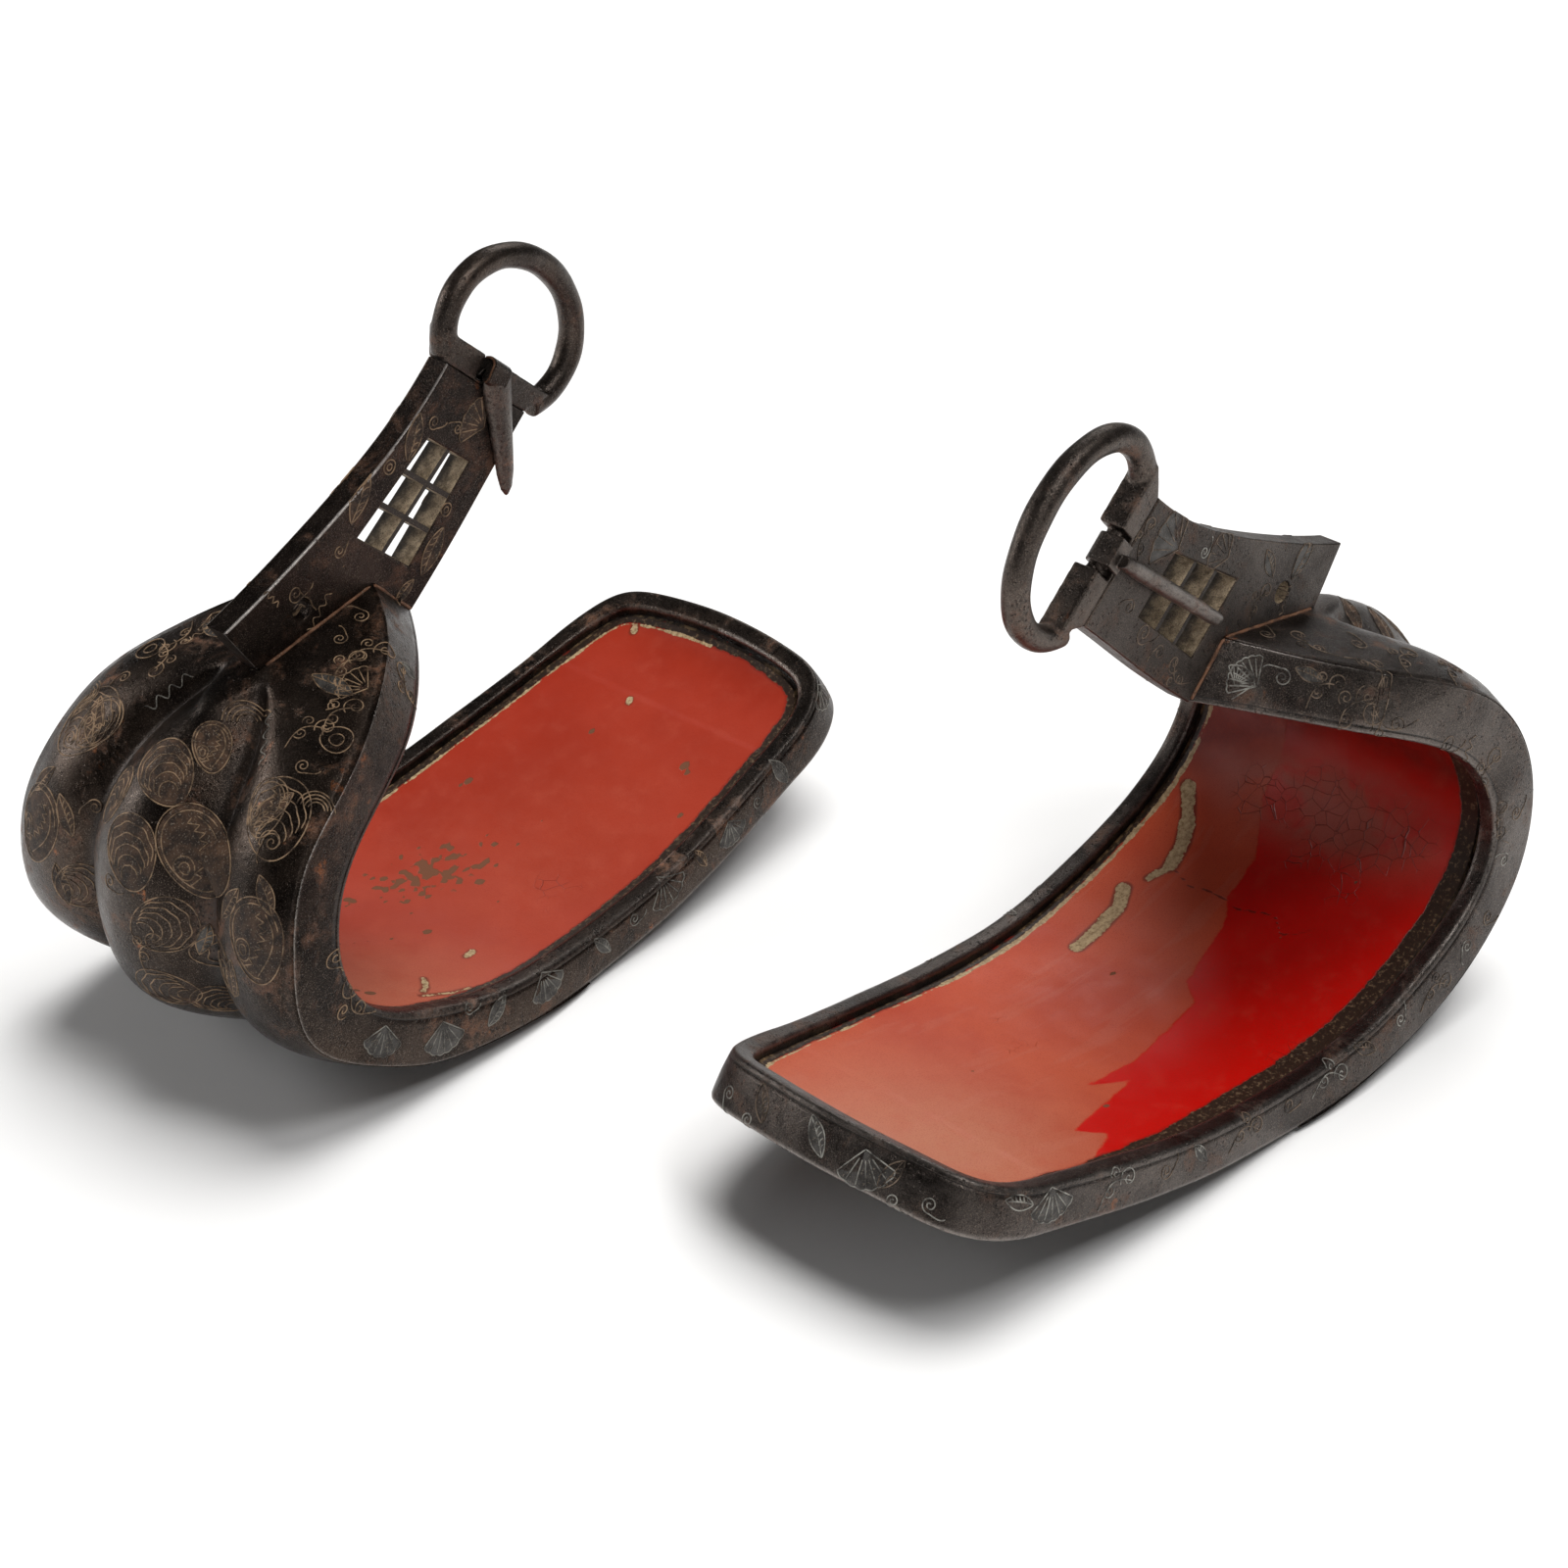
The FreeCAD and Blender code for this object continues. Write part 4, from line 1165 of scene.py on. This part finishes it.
def half_shell():
    edge = polar(np.linspace(-0.3, 2.4, 30)) * [0.9, 1]
    return [edge * share + [0.1 * (1 - share), -0.2] for share in (1.0, 0.82, 0.62, 0.44)], []


def moth():
    """Two ribbed wings about a short body."""
    lines = [np.array([[-0.75, -0.72], [-0.2, -0.55], [0.35, -0.35]])]
    for turn, size, x in ((0.55, 0.80, 0.16), (-0.95, 0.52, -0.10)):
        c, s = math.cos(turn), math.sin(turn)
        lines += [line @ np.array([[c, s], [-s, c]]) * size + [x, 0.1] for line in fan(8)[0]]
    return lines, []


def hoop():
    return [polar(np.linspace(0, 2 * math.pi, 44))], []


def ringlet():
    return [oval(1.0, 1.0, np.linspace(0, 2 * math.pi, 24)), oval(0.45, 1.0, np.linspace(0, 2 * math.pi, 16))], []


kinds = {
    "shell": shell, "toothed": toothed, "leaf": leaf, "fan": fan, "curl": curl, "branch": branch,
    "ripple": ripple, "half_shell": half_shell, "moth": moth, "ringlet": ringlet, "hoop": hoop,
}

# By kind, metal of the lines and metal of the leaves: place on a stirrup in millimetres, half size in millimetres,
# degrees from upright. The plate's face lies at plate_side.
plate_side = 4.4
motifs = {"left": {
    "half_shell gold brown": [(235, 10, 121, 8, 20)],
    "toothed gold brown": [(247, 9, 117, 7, -10), (265, 19, 93, 12.5, 20), (271, 50, 77, 11.5, 10)],
    "shell gold brown": [(261, 3, 113, 9.5, 35), (278, 3, 92, 10, 15), (268, -14, 102, 8, 25)],
    "leaf gold brown": [
        (264, 50, 90, 6.5, 30), (268, -38, 84, 7, 25), (252, -40, 110, 8.5, 30), (262, -42, 60, 8, 10),
        (86, 63, 20, 4.5, 30), (176, 4.4, 173, 9, -30), (152, 4.4, 184, 8, -25), (147, 4.4, 142, 8.5, 140),
        (160, 4.4, 133, 5, 120),
    ],
    "fan gold brown": [(125, 4.4, 180, 6.5, 40)],
    "ripple pale": [(236, -22, 120, 9, 40)],
    "curl pale": [(200, 67, 22, 3.5, 40), (54, 60, 26, 4, 100), (121, 64, 14, 4, 60), (-3, 0, 46, 4, 0)],
    "fan pale": [(104, 64, 17, 6.5, 200), (8, 50, 44, 5.5, 180)],
    "leaf gold grey": [(270, -25, 66, 6, 20), (212, 26, 130, 8, 60)],
    "leaf pale grey": [
        (184, 31, 125, 4.5, 20), (189, 67, 15, 6, -60), (137, 65, 12, 5, 40), (40, 59, 31, 6.5, 30),
        (-5, 20, 46, 6, 30),
    ],
    "fan pale grey": [
        (238, 66, 30, 6, 150), (213, 67, 18, 6.5, 170), (165, 66, 12, 6, 190), (69, 62, 22, 5.5, 190),
        (-4, -18, 47, 6, 200),
    ],
    "shell gold": [
        (276, 14, 70, 10, -60), (262, 20, 40, 8, 50), (253, 43, 109, 11, 15), (275, 11, 44, 9, 80),
        (271, 33, 60, 8.5, 60),
    ],
    "toothed gold": [(252, 38, 110, 8, 20)],
    "half_shell gold": [(245, 51, 112, 6.5, 20)],
    "fan gold": [(207, 31, 130, 5.5, 60)],
    "ripple gold": [(214, 30, 129, 7, 70), (196, 4.4, 141, 7, 40), (215, 4.4, 154, 5, 120)],
    "ringlet gold": [(226, 42, 123, 5, 0), (163, 4.4, 178, 2.4, 0), (140, 4.4, 154, 2.2, 0)],
    "hoop gold": [(203, 4.4, 144.5, 4.5, 0), (203, 4.4, 144.5, 5.1, 0)],
    "curl gold": [
        (258, -46, 104, 5, 60), (186, 12, 137, 4.5, 200), (197, 14, 135, 4, 160), (238, 40, 118, 4, 40),
        (262, 30, 88, 4, 100), (279, -4, 80, 4.5, 40), (250, 61, 66, 5, 10), (143, 4.4, 186, 4, 30),
        (133, 4.4, 180, 3.5, 200), (186, 4.4, 158, 4, 100), (205, 4.4, 151, 5, 60), (176, 4.4, 137, 3.5, 130),
    ],
    "branch gold": [
        (196, 25, 134, 9, 25), (204, 24, 132, 8.5, 60), (219, 36, 127, 9, 40), (229, 33, 124, 8.5, 30),
        (190, 34, 122, 9, 70), (277, 8, 60, 9, 60), (246, 62, 48, 10, 100),
    ],
}, "right": {
    "moth pale": [(172.5, 13, 130, 7, 15)],
    "curl pale": [
        (180, 22, 131, 4.5, 200), (253, 64, 48, 4, 200), (232, 66, 26, 4.2, 300), (196, 66, 16, 4, 120),
        (-2, 39, 43, 4, 20), (-4, 28, 40, 3.5, 20), (160, 4.4, 176, 3.5, 100),
    ],
    "leaf pale": [(19, 55, 40, 5.5, 60)],
    "branch pale": [(160, 65, 12, 9, 0), (58, 60, 26, 9, 10)],
    "curl gold": [
        (176, 17, 121, 4.2, 100), (228, 54, 99, 5, 30), (189, 9, 137, 4.5, 30), (259, 64, 63, 4.5, 90),
        (215, 26, 130, 5, 60), (244, 65, 31, 4.5, 30), (140, 64, 12, 4.2, 40), (80, 62, 20, 4.5, 80),
        (132, 4.4, 160, 6, 30), (124, 4.4, 172, 4, 200), (140, 4.4, 150, 4, 240),
    ],
    "leaf gold grey": [(187, 27, 131, 5, 60), (195, 4.4, 158, 6, 20), (213, 4.4, 153, 8, -45)],
    "fan gold grey": [(143, 4.4, 188, 8.5, 30)],
    "leaf pale grey": [(96, 63, 18, 4.5, 30), (-5, -2, 48, 6.5, 40)],
    "fan pale grey": [(31, 58, 34, 6.5, 170), (-5, 17, 46, 7, 200)],
    "leaf gold brown": [(240, 6, 123, 9, -60), (252, 12, 115, 9.5, -50), (262, 6, 108, 9, -40)],
    "shell gold brown": [(262, 40, 100, 9, 0), (270, 5, 86, 10, 10)],
    "toothed gold brown": [(266, 22, 80, 11, 20)],
    "shell gold": [(262, 45, 70, 10, 0)],
    "fan gold": [(169, 4.4, 173, 6.5, 40)],
    "leaf gold": [(178, 65, 14, 5.5, 60), (-3, -25, 47, 6, 30)],
    "ripple gold": [(236, 56, 92, 7, 60), (205, 4.4, 141, 5, 60)],
    "branch gold": [
        (195, 38, 119, 11, 40), (205, 46, 114, 11, 150), (190, 30, 126, 8, 20), (198, 20, 134, 9, 30),
        (206, 37, 129, 9, 200), (245, 60, 82, 10, 60), (224, 38, 125, 10, -20), (238, 46, 116, 9, -30),
        (250, 63, 62, 9, 90), (215, 66, 18, 9, 10), (118, 64, 14, 9, 0), (129, 4.4, 192, 8, 60),
        (190, 4.4, 146, 8, 40), (150, 4.4, 138, 8, 120),
    ],
}}


def lay(tree, centre, size, turn, line, lift=0.0):
    """Places and normals of a motif's line on the iron; the motif's up is the way up the surface."""
    reach = 0.012
    place, normal = (np.array(v) for v in tree.find_nearest(Vector(centre))[:2])
    rise = np.array([0, 0, 1.0]) - normal * normal[2]
    rise = unit(rise if np.linalg.norm(rise) > 0.2 else np.array([1.0, 0, 0]) - normal * normal[0])
    beside = np.cross(rise, normal)
    c, s = math.cos(math.radians(turn)), math.sin(math.radians(turn))
    points, normals = [], []
    for x, y in np.asarray(line) @ np.array([[c, s], [-s, c]]) * size:
        start = place + beside * x + rise * y + normal * reach
        hit = tree.ray_cast(Vector(start), Vector(-normal), 0.03)
        if hit[0] is None:
            hit = tree.find_nearest(Vector(start - normal * reach))
        points.append(np.array(hit[0]) + np.array(hit[1]) * lift)
        normals.append(hit[1])
    return np.array(points), unit(normals)


def ribbon(points, normals):
    """Thin raised line: closed strip with a flat back in the iron."""
    headings = unit(np.gradient(points, axis=0))
    sides = unit(np.cross(normals, headings)) * inlay_width / 2
    sides[[0, -1]] *= 0.25
    sunk, top = normals * 0.00010, normals * inlay_rise
    rows = [points - sides - sunk, points - sides * 0.5 + top, points + sides * 0.5 + top, points + sides - sunk]
    return np.stack(rows, 1).reshape(-1, 3), grid_faces(len(points), 4)


def sheet(rings, middle, middle_normal):
    """Thin raised leaf through rings that shrink to its middle, rounded off at the edge and closed below."""
    rows = [points + normals * (leaf_rise if number else -0.00008) for number, (points, normals) in enumerate(rings)]
    count = len(rows[0])
    inner, top = (len(rows) - 1) * count, len(rows) * count
    faces = grid_faces(len(rows), count, caps=False)
    for j in range(count):
        k = (j + 1) % count
        faces += [(inner + j, inner + k, top), (k, j, top + 1)]
    return np.vstack(rows + [middle + middle_normal * leaf_rise, middle - middle_normal * 0.0003]), faces


def dense(line, gap):
    """A line with points every gap, corners kept."""
    rows = [line[:1]]
    for a, b in zip(line[:-1], line[1:]):
        count = max(1, math.ceil(np.linalg.norm(b - a) / gap))
        rows.append(a + (b - a) * (np.arange(1, count + 1) / count)[:, None])
    return np.vstack(rows)


def decorate(side):
    """Lays a stirrup's motifs on its breast, band and plate, and their like on the hidden side."""
    points, faces, row = [], [], 6 * lobe_steps + 2
    for name in ("breast", "iron_band", "plate"):
        mesh = bpy.data.objects[side + "_" + name].data
        start = len(points)
        points += [tuple(v.co) for v in mesh.vertices]
        outer = 3 * lobe_steps if name == "breast" else row
        faces += [tuple(i + start for i in p.vertices) for p in mesh.polygons if p.index % row < outer]
    tree = BVHTree.FromPolygons(points, faces)
    made = {}
    for key, places in motifs[side].items():
        kind, metal, *leaf_metal = key.split()
        lines, fills = kinds[kind]()
        hidden = [(x, -y, z, size, -turn) for x, y, z, size, turn in places if abs(y) > 20 or y == plate_side]
        for x, y, z, size, turn in places + hidden:
            centre = placed(np.array([x, y, z]) / 1000, side)[0]
            size = size / 1000 * (1.2 if kind in ("shell", "toothed") else 1.0)
            for line in lines:
                laid = lay(tree, centre, size, turn, dense(line, inlay_step / size), 0.00002)
                made.setdefault(metal + "_line", []).append(ribbon(*laid))
            for line in fills if leaf_metal else []:
                line = line[:-1]
                core = line.mean(0)
                shares = (1.0, 0.94, 0.8, 0.6, 0.4, 0.2)
                rings = [lay(tree, centre, size, turn, core + (line - core) * share) for share in shares]
                part = sheet(rings, *lay(tree, centre, size, turn, [core]))
                made.setdefault(leaf_metal[0] + "_leaf", []).append(part)
    for name, parts in made.items():
        material = side + "_" + name if "line" in name else name
        dress(mesh_piece(side + "_" + name, *merged(parts)), [material])


floor_depth = recess_depth + board_thickness
for side in ("left", "right"):
    iron_band(side)
    breast(side)
    bed("board", side, recess_depth, floor_depth - 0.0005, board_margin, 0.00035, side + "_board",
        "footbed")
    bed("ground", side, recess_depth + bedding_drop, floor_depth + bedding_thickness, 0.0003, 0.0005, "bedding",
        "footbed_bedding")
    buckle_plate(side)
    seam_bead(side)
    strap_ring(side)
    decorate(side)
left_prong()
left_strip()
right_prong()

# CAD pieces that stay
for node, piece in frame["nodes"].items():
    if node.endswith(("window_bar", "window_crossbars", "sole_plate")):
        piece.data.materials.clear()
        piece.data.materials.append(materials[node.split("_")[0] + ("_walls" if "window" in node else "_body")])

# ---- Floor, lights and camera
bpy.ops.mesh.primitive_plane_add(size=6.0, location=(0, 0, -0.0002))
floor = bpy.context.object
floor.name = "floor"
paper = Nodes("floor_paper", (0.86, 0.86, 0.86))
floor.data.materials.append(paper.finish(Roughness=0.9, Specular_IOR_Level=0.1))

world = bpy.data.worlds.new("studio")
bpy.context.scene.world = world
world.use_nodes = True
tree = world.node_tree
tree.nodes.clear()
output = tree.nodes.new("ShaderNodeOutputWorld")
path = tree.nodes.new("ShaderNodeLightPath")
blend = tree.nodes.new("ShaderNodeMixShader")
tree.links.new(path.outputs["Is Camera Ray"], blend.inputs[0])
for index, (colour, strength) in enumerate((((1.0, 0.99, 0.98, 1), 0.03), ((1, 1, 1, 1), 1.0)), 1):
    light = tree.nodes.new("ShaderNodeBackground")
    light.inputs[0].default_value = colour
    light.inputs[1].default_value = strength
    tree.links.new(light.outputs[0], blend.inputs[index])
tree.links.new(blend.outputs[0], output.inputs[0])

target = Vector((0.0905, 0.0820, 0.0))
look_turn = math.radians(42.43)
look = Vector((math.cos(look_turn), math.sin(look_turn), 0.0))
right_hand = Vector((look.y, -look.x, 0))
up = Vector((0, 0, 1.0))


def aim(thing, way):
    thing.rotation_mode = "QUATERNION"
    thing.rotation_quaternion = way.to_track_quat("-Z", "Y")
    bpy.context.scene.collection.objects.link(thing)


def soft_light(name, way, size, power):
    data = bpy.data.lights.new(name, "AREA")
    data.shape = "RECTANGLE"
    data.size, data.size_y = size
    data.energy = power
    lamp = bpy.data.objects.new(name, data)
    lamp.location = target + way
    aim(lamp, -way)


sun_data = bpy.data.lights.new("key_light", "SUN")
sun_data.energy = 3.1
sun_data.angle = math.radians(44)
sun_data.color = (1.0, 0.99, 0.975)
sun = bpy.data.objects.new("key_light", sun_data)
sun.visible_glossy = False
aim(sun, -(right_hand * 0.20 + look * 0.24 + up))
soft_light("left_light", right_hand * -1.6 + look * 0.2 + up * 0.7, (0.7, 0.5), 8)
soft_light("right_light", right_hand * 0.7 - look * 0.7 + up * 1.6, (0.5, 0.5), 8)
soft_light("back_light", look * 1.6 + right_hand * 0.5 + up * 1.3, (1.2, 0.4), 7)
soft_light("front_light", look * -1.7 + right_hand * 0.5 + up * 0.7, (0.9, 0.35), 2)

camera_down = math.radians(32.02)
camera_distance = 1.311
camera_data = bpy.data.cameras.new("camera")
camera_data.lens = 84.0
camera_data.sensor_width = 36.0
camera = bpy.data.objects.new("camera", camera_data)
back = up * math.sin(camera_down) - look * math.cos(camera_down)
camera.location = target + back * camera_distance
aim(camera, -back)
bpy.context.scene.camera = camera
bpy.context.scene.view_settings.view_transform = "Standard"
